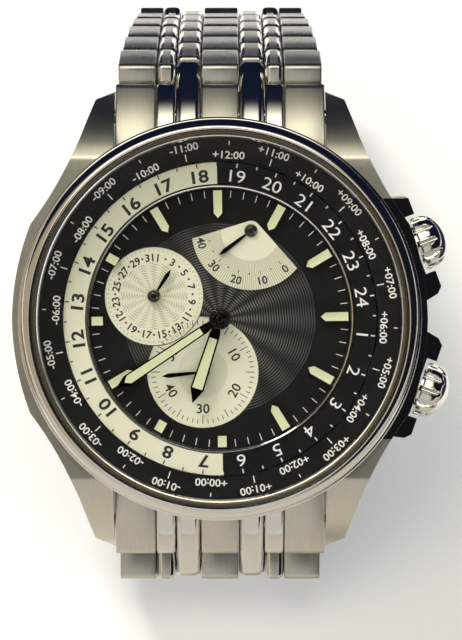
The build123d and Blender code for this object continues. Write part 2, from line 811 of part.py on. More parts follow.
def link_piece(label, pivot, along, lateral, width, joins_row):
    """One link, from its first pivot to the pins in its fingers' ends."""
    plane = link_plane(pivot, along, lateral)
    row_end = pitch / 2 + link_nose
    columns = [(-half_centre, half_centre, -link_nose, row_end)]
    for side in (-1, 1):
        from_x, to_x = sorted((side * finger_outer_x, side * width / 2))
        columns.append((from_x, to_x, -link_nose, row_end))
        from_x, to_x = sorted((side * half_centre, side * finger_outer_x))
        columns.append((from_x, to_x, pitch / 2 - finger_nose, row_end))
        columns.append((from_x + side_gap, to_x - side_gap, pitch / 2, pitch + finger_nose))
    with BuildPart() as piece:
        for from_x, to_x, start, end in columns:
            with BuildSketch(plane.offset(from_x)):
                bar_profile(start, end, half_link, link_chamfer)
            extrude(amount=to_x - from_x)
        for hole_x in (-pin_end_x - side_gap, finger_outer_x - cut_over):
            with BuildSketch(plane.offset(hole_x)):
                flat_hole(pin_r, Mode.ADD)
            extrude(amount=pin_end_x + side_gap - finger_outer_x + cut_over, mode=Mode.SUBTRACT)
        for from_x, to_x in (side_pins if joins_row else clasp_pin):
            with BuildSketch(plane.offset(from_x)):
                with Locations((pitch, 0)):
                    Circle(pin_r)
            extrude(amount=to_x - from_x)
    save(piece, label)


def link_width(share):
    """Width of a link, tapering from the lugs to the clasp."""
    return lug_gap - (lug_gap - clasp_width) * share


rear_count = len(rear_slope_angles)
place = front_pivot + head_up * (2 * pivot_r)
for index, slope in enumerate(rear_slope_angles):
    along = Vector(0, cos(radians(slope)), -sin(radians(slope)))
    link_piece(f"rear_link_{index + 1}", place, along, Vector(1, 0, 0),
               link_width((index + 1) / rear_count), index + 1 < rear_count)
    place = place + along * pitch

place = front_pivot
front_count = 1 + front_flat_links
for index in range(front_count):
    slope = radians(front_slope_angle) if index == 0 else 0
    along = Vector(0, cos(slope), -sin(slope))
    link_piece(f"front_link_{index + 1}", place, along, Vector(-1, 0, 0),
               link_width((index + 1) / front_count), index + 1 < front_count)
    place = place + along * pitch

# End links, between the lugs, each with the fingers that carry the first link
for label, side in (("rear_end_link", 1), ("front_end_link", -1)):
    plane = link_plane(head_origin, head_up * side, Vector(side, 0, 0))
    pivot_plane = link_plane(head_origin + head_out * pivot_z, head_up * side, Vector(side, 0, 0))
    with BuildPart() as end_link:
        with BuildSketch(plane.offset(-lug_gap / 2)):
            Polygon(
                (case_round_r - end_link_depth, end_link_bottom_z),
                (case_round_r - end_link_depth, end_link_inner_z),
                (case_round_r, end_link_inner_z),
                (end_link_outer_y, end_link_top_z),
                (end_link_outer_y, end_link_bottom_z),
                align=None,
            )
        extrude(amount=lug_gap)
        for edge in (-1, 1):
            from_x, to_x = sorted((edge * finger_from_x, edge * finger_to_x))
            with BuildSketch(pivot_plane.offset(from_x)):
                bar_profile(case_round_r, pivot_r + finger_nose, half_link, link_chamfer)
            extrude(amount=to_x - from_x)
        with BuildSketch(head):
            Circle(case_round_r + running_gap)
        extrude(amount=case_top_z, mode=Mode.SUBTRACT)
        with BuildSketch(plane.offset(-lug_gap)):
            with Locations((spring_bar_y, spring_bar_z)):
                Circle(spring_bar_r)
        extrude(amount=2 * lug_gap, mode=Mode.SUBTRACT)
        for from_x, to_x in side_pins:
            with BuildSketch(plane.offset(from_x)):
                with Locations((pivot_r, pivot_z)):
                    Circle(pin_r)
            extrude(amount=to_x - from_x)
    save(end_link, label)

with BuildPart() as spring_bars:
    for side in (-1, 1):
        with BuildSketch(head_side.offset(-lug_inner_x - lug_hole_depth + slide_gap)):
            with Locations((side * spring_bar_y, spring_bar_z)):
                Circle(spring_bar_r)
        extrude(amount=2 * (lug_inner_x + lug_hole_depth - slide_gap))
save(spring_bars, "spring_bars")

# Clasp: a cover on the table, and two blades folded over it
table_side = Plane(origin=(0, 0, 0), x_dir=(0, 1, 0), z_dir=(1, 0, 0))
front_pin_y = -clasp_length / 2
rear_pin_y = clasp_length / 2
cover_hinge_y = front_pin_y + cover_hinge_in
blade_hinge_y = rear_pin_y - blade_hinge_in
cover_front_y = front_pin_y + finger_nose + cover_end_gap
cover_rear_y = rear_pin_y - finger_nose - cover_end_gap
knuckle_inner_x = blade_width / 2 - knuckle_width
tongue_half = half_centre - side_gap
eye_gap = 0.15


def across(from_x, to_x, mode=Mode.ADD):
    """Extrude the side profile just drawn from one place across the clasp to another."""
    extrude(amount=to_x - from_x, mode=mode)


with BuildPart() as inner_blade:
    with BuildSketch(table_side.offset(-tongue_half)):
        with Locations((front_pin_y, half_link)):
            Circle(inner_eye_r)
        with Locations((front_pin_y, inner_blade_z)):
            Rectangle(cover_hinge_in, blade_thickness, align=Align.MIN)
        with Locations((front_pin_y, half_link)):
            flat_hole(pin_r)
    across(-tongue_half, tongue_half)
    blade_start = cover_front_y
    blade_stop = blade_hinge_y - blade_eye_r - eye_gap
    with BuildSketch(table_side.offset(-blade_width / 2)):
        with Locations((blade_start, inner_blade_z)):
            Rectangle(blade_stop - blade_start, blade_thickness, align=Align.MIN)
    across(-blade_width / 2, blade_width / 2)
    for side in (-1, 1):
        edges = sorted((side * (knuckle_inner_x + side_gap), side * blade_width / 2))
        with BuildSketch(table_side.offset(edges[0])):
            with Locations((blade_hinge_y, blade_hinge_z)):
                Circle(blade_eye_r)
            with Locations((blade_hinge_y, inner_blade_z)):
                Rectangle(blade_eye_r + 2 * eye_gap, blade_thickness, align=(Align.MAX, Align.MIN))
        across(edges[0], edges[1])
    with BuildSketch(table_side.offset(-knuckle_inner_x - side_gap)):
        with Locations((blade_hinge_y, blade_hinge_z)):
            Circle(hinge_pin_r)
    across(-knuckle_inner_x - side_gap, knuckle_inner_x + side_gap)
save(inner_blade, "inner_blade")

with BuildPart() as outer_blade:
    plate_start = cover_hinge_y + cover_eye_r + eye_gap
    plate_stop = blade_hinge_y - blade_eye_r - eye_gap
    with BuildSketch(table_side.offset(-blade_width / 2)):
        with Locations((plate_start, outer_blade_z)):
            Rectangle(plate_stop - plate_start, blade_thickness, align=Align.MIN)
    across(-blade_width / 2, blade_width / 2)
    with BuildSketch(table_side.offset(-knuckle_inner_x)):
        with Locations((cover_hinge_y, cover_hinge_z)):
            Circle(cover_eye_r)
        with Locations((blade_hinge_y, blade_hinge_z)):
            Circle(blade_eye_r)
        with Locations((cover_hinge_y, outer_blade_z)):
            Rectangle(blade_hinge_y - cover_hinge_y, blade_thickness, align=Align.MIN)
        with Locations((cover_hinge_y, cover_hinge_z), (blade_hinge_y, blade_hinge_z)):
            flat_hole(hinge_pin_r)
    across(-knuckle_inner_x, knuckle_inner_x)
save(outer_blade, "outer_blade")

with BuildPart() as clasp_cover:
    with BuildSketch(table_side.offset(-clasp_width / 2)):
        with Locations((cover_front_y, 0)):
            Rectangle(rear_pin_y + cover_ear_reach - cover_front_y, cover_height, align=Align.MIN)
    across(-clasp_width / 2, clasp_width / 2)
    with BuildSketch(table_side.offset(cover_wall - clasp_width / 2)):
        with Locations((cover_front_y - cut_over, cover_plate)):
            Rectangle(clasp_length, cover_height, align=Align.MIN)
        with Locations((cover_rear_y, -cut_over)):
            Rectangle(clasp_length, cover_height + cut_over, align=Align.MIN)
    across(0, clasp_width - 2 * cover_wall, mode=Mode.SUBTRACT)
    for side in (-1, 1):
        edges = sorted((side * (knuckle_inner_x + side_gap), side * blade_width / 2))
        with BuildSketch(table_side.offset(edges[0])):
            with Locations((cover_hinge_y, cover_hinge_z)):
                Circle(cover_eye_r)
            with Locations((cover_hinge_y, cover_plate)):
                Rectangle(2 * cover_eye_r, cover_hinge_z - cover_plate, align=(Align.CENTER, Align.MIN))
        across(edges[0], edges[1])
    with BuildSketch(table_side.offset(-knuckle_inner_x - side_gap)):
        with Locations((cover_hinge_y, cover_hinge_z)):
            Circle(hinge_pin_r)
    across(-knuckle_inner_x - side_gap, knuckle_inner_x + side_gap)
    chamfer(clasp_cover.edges().filter_by(Axis.Y).group_by(Axis.Z)[0], cover_chamfer)
save(clasp_cover, "clasp_cover")

print("lean", degrees(lean), "head origin", head_origin, "clasp length", clasp_length)
print("front pivot", front_pivot, "rear pivot", front_pivot + head_up * (2 * pivot_r))
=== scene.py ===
import json
from math import acos, atan2, cos, degrees, hypot, pi, radians, sin

import bmesh
import bpy
from mathutils import Matrix, Vector


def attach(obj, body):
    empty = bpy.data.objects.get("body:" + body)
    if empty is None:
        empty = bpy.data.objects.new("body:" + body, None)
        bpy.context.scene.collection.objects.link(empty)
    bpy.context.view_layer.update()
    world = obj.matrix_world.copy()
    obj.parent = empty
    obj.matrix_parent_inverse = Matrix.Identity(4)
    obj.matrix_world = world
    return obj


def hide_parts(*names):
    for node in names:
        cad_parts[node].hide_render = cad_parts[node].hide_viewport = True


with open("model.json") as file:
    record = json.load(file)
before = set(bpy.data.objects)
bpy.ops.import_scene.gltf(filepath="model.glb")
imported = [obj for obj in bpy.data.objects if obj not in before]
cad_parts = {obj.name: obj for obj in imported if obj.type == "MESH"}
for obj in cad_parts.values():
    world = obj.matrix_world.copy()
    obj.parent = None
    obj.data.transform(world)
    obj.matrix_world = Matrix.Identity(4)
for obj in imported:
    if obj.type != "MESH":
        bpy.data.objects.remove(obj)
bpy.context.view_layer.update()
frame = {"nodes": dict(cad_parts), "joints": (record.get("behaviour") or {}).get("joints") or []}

joints = {joint["name"]: joint for joint in frame["joints"]}
nodes = frame["nodes"]

# the head's own frame, in millimetres: its origin on the case back, +Z out of the dial, +Y to 12 o'clock
headOut = Vector(joints["minute_hand_turn"]["axis"])
lean = atan2(-headOut.y, headOut.z)
dialCentre = Vector(joints["minute_hand_turn"]["pos_m"])
backLevel = min(headOut.dot(v.co) for v in nodes["case_back"].data.vertices)
headOrigin = dialCentre - headOut * (headOut.dot(dialCentre) - backLevel)
headPlace = Matrix.Translation(headOrigin) @ Matrix.Rotation(lean, 4, "X") @ Matrix.Scale(0.001, 4)
print("head at", headOrigin, "lean", lean)


def jointInHead(name):
    return headPlace.inverted() @ Vector(joints[name]["pos_m"])


# materials
colours = dict(
    steel=(0.74, 0.73, 0.70), polish=(0.82, 0.81, 0.80), warmSteel=(0.80, 0.775, 0.71),
    darkSteel=(0.06, 0.055, 0.055), rimSteel=(0.30, 0.28, 0.23), brass=(0.74, 0.56, 0.26),
    blackDial=(0.010, 0.010, 0.011), guillocheLight=(0.16, 0.16, 0.15),
    cream=(0.76, 0.75, 0.60), creamShade=(0.62, 0.61, 0.48), creamGroove=(0.42, 0.41, 0.31),
    lume=(0.68, 0.72, 0.46), ink=(0.012, 0.012, 0.014), white=(0.86, 0.87, 0.84), rubber=(0.11, 0.085, 0.055),
)


def rgba(name):
    return (*colours[name], 1.0)


def addNode(tree, kind, values=None, **settings):
    node = tree.nodes.new(kind)
    for key, value in settings.items():
        setattr(node, key, value)
    for key, value in (values or {}).items():
        node.inputs[key].default_value = value
    return node


def freshMaterial(name):
    material = bpy.data.materials.new(name)
    material.use_nodes = True
    return material, material.node_tree, material.node_tree.nodes["Principled BSDF"]


def objectCoords(tree, inHead, centre=(0.0, 0.0, 0.0), turn=0.0):
    source = addNode(tree, "ShaderNodeTexCoord")
    place = addNode(tree, "ShaderNodeMapping", vector_type="TEXTURE")
    if inHead:
        place.inputs["Location"].default_value = headOrigin
        place.inputs["Rotation"].default_value = (lean, 0, 0)
    place.inputs["Scale"].default_value = (0.001, 0.001, 0.001)
    tree.links.new(source.outputs["Object"], place.inputs["Vector"])
    if centre == (0.0, 0.0, 0.0) and turn == 0.0:
        return place.outputs["Vector"]
    about = addNode(tree, "ShaderNodeMapping", {"Location": centre, "Rotation": (0, 0, turn)}, vector_type="TEXTURE")
    tree.links.new(place.outputs["Vector"], about.inputs["Vector"])
    return about.outputs["Vector"]


def mathNode(tree, operation, first, second=None):
    node = addNode(tree, "ShaderNodeMath", operation=operation)
    for index, value in enumerate((first, second)):
        if value is None:
            continue
        if isinstance(value, (int, float)):
            node.inputs[index].default_value = value
        else:
            tree.links.new(value, node.inputs[index])
    return node.outputs[0]


def radiusAndAngle(tree, coords):
    split = addNode(tree, "ShaderNodeSeparateXYZ")
    tree.links.new(coords, split.inputs[0])
    x, y = split.outputs["X"], split.outputs["Y"]
    squares = mathNode(tree, "ADD", mathNode(tree, "MULTIPLY", x, x), mathNode(tree, "MULTIPLY", y, y))
    return mathNode(tree, "SQRT", squares), mathNode(tree, "ARCTAN2", y, x), x


def mixColour(tree, factor, first, second):
    mix = addNode(tree, "ShaderNodeMix", data_type="RGBA")
    for socket, value in ((mix.inputs[6], first), (mix.inputs[7], second)):
        if isinstance(value, tuple):
            socket.default_value = value
        else:
            tree.links.new(value, socket)
    if isinstance(factor, (int, float)):
        mix.inputs[0].default_value = factor
    else:
        tree.links.new(factor, mix.inputs[0])
    return mix.outputs[2]


def addBump(tree, shader, height, strength, distance):
    bump = addNode(tree, "ShaderNodeBump", {"Strength": strength, "Distance": distance})
    tree.links.new(height, bump.inputs["Height"])
    tree.links.new(bump.outputs["Normal"], shader.inputs["Normal"])


metalGrain = dict(detail=3.0, roughness=0.62, cloudScale=0.35, cloudDetail=2.0, grainShare=0.6, cloudShare=0.4,
                  smoothest=0.75, roughest=1.35, bump=0.00002)


def steelMaterial(name, tone, roughness, streak, inHead, strength=0.25, darker=0.82, circular=False):
    material, tree, shader = freshMaterial(name)
    coords = objectCoords(tree, inHead)
    if circular:
        radius, angle = radiusAndAngle(tree, coords)[:2]
        joined = addNode(tree, "ShaderNodeCombineXYZ")
        tree.links.new(radius, joined.inputs["X"])
        tree.links.new(angle, joined.inputs["Y"])
        coords = joined.outputs[0]
    stretch = addNode(tree, "ShaderNodeMapping", {"Scale": streak})
    tree.links.new(coords, stretch.inputs["Vector"])
    grain = addNode(tree, "ShaderNodeTexNoise", {"Scale": 1.0, "Detail": metalGrain["detail"],
                                                 "Roughness": metalGrain["roughness"]})
    tree.links.new(stretch.outputs["Vector"], grain.inputs["Vector"])
    cloud = addNode(tree, "ShaderNodeTexNoise", {"Scale": metalGrain["cloudScale"],
                                                 "Detail": metalGrain["cloudDetail"]})
    tree.links.new(objectCoords(tree, inHead), cloud.inputs["Vector"])
    base = rgba(tone)
    shade = tuple(channel * darker for channel in base[:3]) + (1.0,)
    tree.links.new(mixColour(tree, grain.outputs["Fac"], shade, base), shader.inputs["Base Color"])
    rough = addNode(tree, "ShaderNodeMapRange", {"To Min": roughness * metalGrain["smoothest"],
                                                 "To Max": roughness * metalGrain["roughest"]})
    fine = mathNode(tree, "MULTIPLY", grain.outputs["Fac"], metalGrain["grainShare"])
    coarse = mathNode(tree, "MULTIPLY", cloud.outputs["Fac"], metalGrain["cloudShare"])
    tree.links.new(mathNode(tree, "ADD", fine, coarse), rough.inputs["Value"])
    tree.links.new(rough.outputs["Result"], shader.inputs["Roughness"])
    shader.inputs["Metallic"].default_value = 1.0
    addBump(tree, shader, grain.outputs["Fac"], strength, metalGrain["bump"])
    return material


engraving = dict(pitch=0.27, ripples=18.0, sheenSpokes=16.0, reach=0.62, fade=0.05, lift=0.2, sharpness=1.5,
                 rays=150.0, finePitch=0.16, speckScale=9.0, speckDetail=2.0, creamGrain=0.12,
                 specular=0.12, strength=0.25, bump=0.00003)


# engraved rings waved round the centre, times a painted sheen: bright and dark fan bands round the centre, fainter
# further out, where light would catch the engraving
def guillocheLines(tree, radius, angle, wave):
    ripple = mathNode(tree, "SINE", mathNode(tree, "MULTIPLY", angle, engraving["ripples"]))
    rippled = mathNode(tree, "ADD", radius, mathNode(tree, "MULTIPLY", ripple, wave))
    lines = mathNode(tree, "SINE", mathNode(tree, "MULTIPLY", rippled, 2 * pi / engraving["pitch"]))
    lines = mathNode(tree, "MULTIPLY", mathNode(tree, "ADD", lines, 1.0), 0.5)
    lines = mathNode(tree, "POWER", lines, engraving["sharpness"])
    # painted sheen: the lines brighten and darken in bands with angle, and grow weaker with radius
    sheenSpoke = mathNode(tree, "COSINE", mathNode(tree, "MULTIPLY", angle, engraving["sheenSpokes"]))
    reach = mathNode(tree, "SUBTRACT", engraving["reach"], mathNode(tree, "MULTIPLY", radius, engraving["fade"]))
    lifted = mathNode(tree, "ADD", reach, engraving["lift"])
    sheen = mathNode(tree, "ADD", mathNode(tree, "MULTIPLY", sheenSpoke, reach), lifted)
    return mathNode(tree, "SUBTRACT", mathNode(tree, "MULTIPLY", mathNode(tree, "MULTIPLY", lines, sheen), 2.0), 1.0)


# lines run from -1 to 1; outside the limit, or inside it for rays, the level is rest
def enamelMaterial(name, pattern, light, dark, centre=(0.0, 0.0, 0.0), turn=0.0, roughness=0.35,
                   limit=99.0, rest=1.0, wave=0.035):
    material, tree, shader = freshMaterial(name)
    radius, angle, x = radiusAndAngle(tree, objectCoords(tree, True, centre, turn))
    if pattern == "guilloche":
        lines = guillocheLines(tree, radius, angle, wave)
    elif pattern == "rays":
        lines = mathNode(tree, "SINE", mathNode(tree, "MULTIPLY", angle, engraving["rays"]))
    elif pattern == "rings":
        lines = mathNode(tree, "SINE", mathNode(tree, "MULTIPLY", radius, 2 * pi / engraving["finePitch"]))
    else:
        speck = addNode(tree, "ShaderNodeTexNoise", {"Scale": engraving["speckScale"],
                                                     "Detail": engraving["speckDetail"]})
        tree.links.new(objectCoords(tree, True), speck.inputs["Vector"])
        lines = mathNode(tree, "SUBTRACT", mathNode(tree, "MULTIPLY", speck.outputs["Fac"], 2.0), 1.0)
    level = mathNode(tree, "ADD", mathNode(tree, "MULTIPLY", lines, 0.5), 0.5)
    inside = mathNode(tree, "GREATER_THAN" if pattern == "rays" else "LESS_THAN", radius, limit)
    level = mathNode(tree, "MULTIPLY", mathNode(tree, "SUBTRACT", level, rest), inside)
    level = mathNode(tree, "ADD", level, rest)
    if pattern == "halves":
        side = mathNode(tree, "GREATER_THAN", x, 0.0)
        tint = mixColour(tree, side, rgba(light), rgba(dark))
        paleSide = mathNode(tree, "MULTIPLY", mathNode(tree, "SUBTRACT", 1.0, side), engraving["creamGrain"])
        tint = mixColour(tree, mathNode(tree, "MULTIPLY", level, paleSide), tint, rgba("creamShade"))
    else:
        tint = mixColour(tree, level, rgba(dark), rgba(light))
    tree.links.new(tint, shader.inputs["Base Color"])
    shader.inputs["Roughness"].default_value = roughness
    shader.inputs["Specular IOR Level"].default_value = engraving["specular"]
    addBump(tree, shader, level, engraving["strength"], engraving["bump"])
    return material


paintGrain = dict(scale=14.0, detail=3.0, strength=0.15, bump=0.00001)


def paintMaterial(name, tone, roughness, speckle=0.12):
    material, tree, shader = freshMaterial(name)
    speck = addNode(tree, "ShaderNodeTexNoise", {"Scale": paintGrain["scale"], "Detail": paintGrain["detail"]})
    tree.links.new(objectCoords(tree, True), speck.inputs["Vector"])
    base = rgba(tone)
    shade = tuple(channel * (1 - speckle) for channel in base[:3]) + (1.0,)
    tree.links.new(mixColour(tree, speck.outputs["Fac"], shade, base), shader.inputs["Base Color"])
    shader.inputs["Roughness"].default_value = roughness
    addBump(tree, shader, speck.outputs["Fac"], paintGrain["strength"], paintGrain["bump"])
    return material


crystalLook = dict(smearScale=0.3, smearDetail=2.0, roughest=0.012, bending=1.25)


# the crystal casts no shadow, so the dial under it stays lit
def glassMaterial(name):
    material, tree, shader = freshMaterial(name)
    smear = addNode(tree, "ShaderNodeTexNoise", {"Scale": crystalLook["smearScale"],
                                                 "Detail": crystalLook["smearDetail"]})
    tree.links.new(objectCoords(tree, True), smear.inputs["Vector"])
    rough = addNode(tree, "ShaderNodeMapRange", {"To Min": 0.0, "To Max": crystalLook["roughest"]})
    tree.links.new(smear.outputs["Fac"], rough.inputs["Value"])
    tree.links.new(rough.outputs["Result"], shader.inputs["Roughness"])
    shader.inputs["Base Color"].default_value = (1, 1, 1, 1)
    shader.inputs["Transmission Weight"].default_value = 1.0
    shader.inputs["IOR"].default_value = crystalLook["bending"]
    path = addNode(tree, "ShaderNodeLightPath")
    clear = addNode(tree, "ShaderNodeBsdfTransparent")
    mix = addNode(tree, "ShaderNodeMixShader")
    tree.links.new(path.outputs["Is Shadow Ray"], mix.inputs[0])
    tree.links.new(shader.outputs[0], mix.inputs[1])
    tree.links.new(clear.outputs[0], mix.inputs[2])
    tree.links.new(mix.outputs[0], tree.nodes["Material Output"].inputs["Surface"])
    return material


dateAt = jointInHead("date_hand_turn")
secondsAt = jointInHead("seconds_hand_turn")
reserveAt = jointInHead("reserve_hand_swing")
ringShift = 1.15    # degrees anticlockwise from the case's 12 to the 24-hour ring's split
finish = dict(
    satinHead=steelMaterial("satinHead", "warmSteel", 0.30, (22.0, 0.6, 0.6), True, 0.5, 0.70),
    polishHead=steelMaterial("polishHead", "polish", 0.07, (1.2, 1.2, 1.2), True, 0.05, 0.96),
    satinBand=steelMaterial("satinBand", "steel", 0.28, (22.0, 0.6, 0.6), False, 0.5, 0.72),
    polishBand=steelMaterial("polishBand", "polish", 0.09, (1.4, 1.4, 1.4), False, 0.05, 0.95),
    backSteel=steelMaterial("backSteel", "steel", 0.26, (16.0, 2.0, 1.0), True, 0.4, 0.75, True),
    bridgeSteel=steelMaterial("bridgeSteel", "polish", 0.24, (5.0, 0.4, 0.4), True, 0.4, 0.8),
    darkSteel=steelMaterial("darkSteel", "darkSteel", 0.14, (0.8, 0.8, 0.8), True, 0.02, 0.8),
    rimSteel=steelMaterial("rimSteel", "rimSteel", 0.12, (0.6, 0.6, 0.6), True, 0.02, 0.94),
    brass=steelMaterial("brass", "brass", 0.25, (12.0, 1.5, 1.0), True, 0.3, 0.8, True),
    # the dial and the date dial carry the painted sheen bands of guillocheLines
    dial=enamelMaterial("dialLacquer", "guilloche", "guillocheLight", "blackDial", roughness=0.42,
                        limit=9.9, rest=0.0),
    dateDial=enamelMaterial("dateEnamel", "guilloche", "creamGroove", "cream", tuple(dateAt),
                            limit=3.5, rest=0.0, wave=0.09),
    secondsDial=enamelMaterial("secondsEnamel", "rings", "cream", "creamShade", tuple(secondsAt), limit=2.6),
    fan=enamelMaterial("fanEnamel", "rays", "cream", "creamGroove", tuple(reserveAt), limit=3.1),
    dayRing=enamelMaterial("dayRingEnamel", "halves", "cream", "blackDial", turn=radians(ringShift)),
    cityRing=enamelMaterial("cityRingLacquer", "plain", "guillocheLight", "blackDial", roughness=0.3,
                            limit=0.0, rest=0.0),
    lume=paintMaterial("lume", "lume", 0.55),
    white=paintMaterial("whitePrint", "white", 0.5),
    ink=paintMaterial("darkPrint", "ink", 0.6, 0.3),
    rubber=paintMaterial("sealRubber", "rubber", 0.4, 0.4),
    glass=glassMaterial("crystalGlass"),
)
print("materials made")


# helpers for pieces
def finishPiece(bm, name, body, materials, place=headPlace, replaced=(), bevelAngle=35.0):
    bmesh.ops.remove_doubles(bm, verts=bm.verts, dist=1e-6)
    bmesh.ops.recalc_face_normals(bm, faces=bm.faces)
    for face in bm.faces:
        face.smooth = True
    mesh = bpy.data.meshes.new(name)
    bm.to_mesh(mesh)
    bm.free()
    mesh.transform(place)
    mesh.set_sharp_from_angle(angle=radians(bevelAngle))
    for key in materials:
        mesh.materials.append(finish[key])
    piece = bpy.data.objects.new(name, mesh)
    bpy.context.scene.collection.objects.link(piece)
    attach(piece, body)
    if replaced:
        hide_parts(*replaced)
    return piece


def softenEdges(bm, width, segments=2, angle=30.0, edges=None):
    sharp = edges if edges is not None else [
        edge for edge in bm.edges if edge.is_manifold and edge.calc_face_angle(0.0) > radians(angle)
    ]
    bmesh.ops.bevel(bm, geom=sharp, offset=width, segments=segments, profile=0.5,
                    affect="EDGES", material=-1, clamp_overlap=True)


def spunRing(points, steps=180):
    bm = bmesh.new()
    verts = [bm.verts.new((r, 0, z)) for r, z in points]
    edges = [bm.edges.new((verts[i], verts[(i + 1) % len(verts)])) for i in range(len(verts))]
    bmesh.ops.spin(bm, geom=verts + edges, cent=(0, 0, 0), axis=(0, 0, 1), angle=2 * pi, steps=steps, use_merge=True)
    bmesh.ops.recalc_face_normals(bm, faces=bm.faces)
    return bm


def plateFrom(bm, outline, bottom, top):
    verts = [bm.verts.new((x, y, bottom)) for x, y in outline]
    face = bm.faces.new(verts)
    made = bmesh.ops.extrude_face_region(bm, geom=[face])
    lifted = [item for item in made["geom"] if isinstance(item, bmesh.types.BMVert)]
    bmesh.ops.translate(bm, verts=lifted, vec=(0, 0, top - bottom))
    return verts + lifted, next(item for item in made["geom"] if isinstance(item, bmesh.types.BMFace))


def addBox(bm, size, centre, turn=0.0):
    made = bmesh.ops.create_cube(bm, size=1.0)["verts"]
    bmesh.ops.scale(bm, verts=made, vec=size)
    bmesh.ops.translate(bm, verts=made, vec=centre)
    if turn:
        bmesh.ops.rotate(bm, verts=made, cent=(0, 0, 0), matrix=Matrix.Rotation(turn, 3, "Z"))
    return made


def clockPoint(radius, turn, z, centre=(0, 0)):
    return Vector((centre[0] + radius * sin(radians(turn)), centre[1] + radius * cos(radians(turn)), z))


lettering = dict(capShare=0.73, smoothness=3, thickness=0.02)


def textMesh(words, height, weight):
    curve = bpy.data.curves.new("label", "FONT")
    curve.body = words
    curve.size = height / lettering["capShare"]
    curve.align_x = "CENTER"
    curve.offset = weight
    curve.extrude = lettering["thickness"] / 2
    curve.resolution_u = lettering["smoothness"]
    holder = bpy.data.objects.new("label", curve)
    bpy.context.scene.collection.objects.link(holder)
    bpy.context.view_layer.update()
    mesh = bpy.data.meshes.new_from_object(holder.evaluated_get(bpy.context.evaluated_depsgraph_get()))
    mesh.transform(Matrix.Translation((0, -height / 2, 0)))
    bpy.data.objects.remove(holder)
    bpy.data.curves.remove(curve)
    return mesh


def addLabel(bm, words, height, place, weight=0.0, widen=1.0):
    mesh = textMesh(words, height, weight)
    mesh.transform(place @ Matrix.Diagonal((widen, 1, 1, 1)))
    bm.from_mesh(mesh)
    bpy.data.meshes.remove(mesh)


def addTick(bm, width, inner, outer, z, turn, centre=(0, 0)):
    made = addBox(bm, (width, outer - inner, lettering["thickness"]), (0, (outer + inner) / 2, z), radians(-turn))
    bmesh.ops.translate(bm, verts=made, vec=(centre[0], centre[1], 0))


def addDot(bm, size, place):
    addBox(bm, (size, size, lettering["thickness"]), place)


def labelPlace(radius, turn, z, centre=(0, 0), inward=False):
    spin = radians(-turn + (180 if inward else 0))
    return Matrix.Translation(clockPoint(radius, turn, z, centre)) @ Matrix.Rotation(spin, 4, "Z")


# camera, light and floor
view = dict(aimX=1.15, aimY=-0.13, aimZ=8.6, distance=335.0, angle=11.36, nearClip=0.01, farClip=20)
camera = bpy.data.cameras.new("mainCamera")
camera.sensor_fit = "VERTICAL"
camera.angle = radians(view["angle"])
camera.clip_start = view["nearClip"]
camera.clip_end = view["farClip"]
cameraObject = bpy.data.objects.new("mainCamera", camera)
cameraObject.location = headPlace @ Vector((view["aimX"], view["aimY"], view["aimZ"] + view["distance"]))
cameraObject.rotation_euler = (lean, 0, 0)
bpy.context.scene.collection.objects.link(cameraObject)
bpy.context.scene.camera = cameraObject
bpy.context.scene.view_settings.view_transform = "Standard"

studio = dict(floorSize=3.0, floorZ=-0.0002, floorTone=(0.88, 0.88, 0.88, 1), floorShade=(0.84, 0.84, 0.85, 1),
              floorRoughness=0.7, fibreScale=3.0, fibreDetail=4.0, glowTone=(0.93, 0.96, 1.0, 1), floorGlow=0.30,
              worldFill=0.75, keyPower=3.0, sidePower=0.4)
bm = bmesh.new()
bmesh.ops.create_grid(bm, x_segments=4, y_segments=4, size=studio["floorSize"])
floorMesh = bpy.data.meshes.new("studioFloor")
bm.to_mesh(floorMesh)
bm.free()
floor = bpy.data.objects.new("studioFloor", floorMesh)
floor.location = (0, 0, studio["floorZ"])
bpy.context.scene.collection.objects.link(floor)
material, tree, shader = freshMaterial("floorPaper")
fibre = addNode(tree, "ShaderNodeTexNoise", {"Scale": studio["fibreScale"], "Detail": studio["fibreDetail"]})
source = addNode(tree, "ShaderNodeTexCoord")
tree.links.new(source.outputs["Object"], fibre.inputs["Vector"])
tree.links.new(mixColour(tree, fibre.outputs["Fac"], studio["floorShade"], studio["floorTone"]),
               shader.inputs["Base Color"])
shader.inputs["Roughness"].default_value = studio["floorRoughness"]
# a faint glow that only the camera and reflections see turns the paper white and keeps the shadow
path = addNode(tree, "ShaderNodeLightPath")
seen = mathNode(tree, "MAXIMUM", path.outputs["Is Glossy Ray"], path.outputs["Is Transmission Ray"])
seen = mathNode(tree, "MAXIMUM", path.outputs["Is Camera Ray"], seen)
glow = addNode(tree, "ShaderNodeEmission", {"Color": studio["glowTone"]})
tree.links.new(mathNode(tree, "MULTIPLY", seen, studio["floorGlow"]), glow.inputs["Strength"])
both = addNode(tree, "ShaderNodeAddShader")
tree.links.new(shader.outputs[0], both.inputs[0])
tree.links.new(glow.outputs[0], both.inputs[1])
tree.links.new(both.outputs[0], tree.nodes["Material Output"].inputs["Surface"])
floorMesh.materials.append(material)

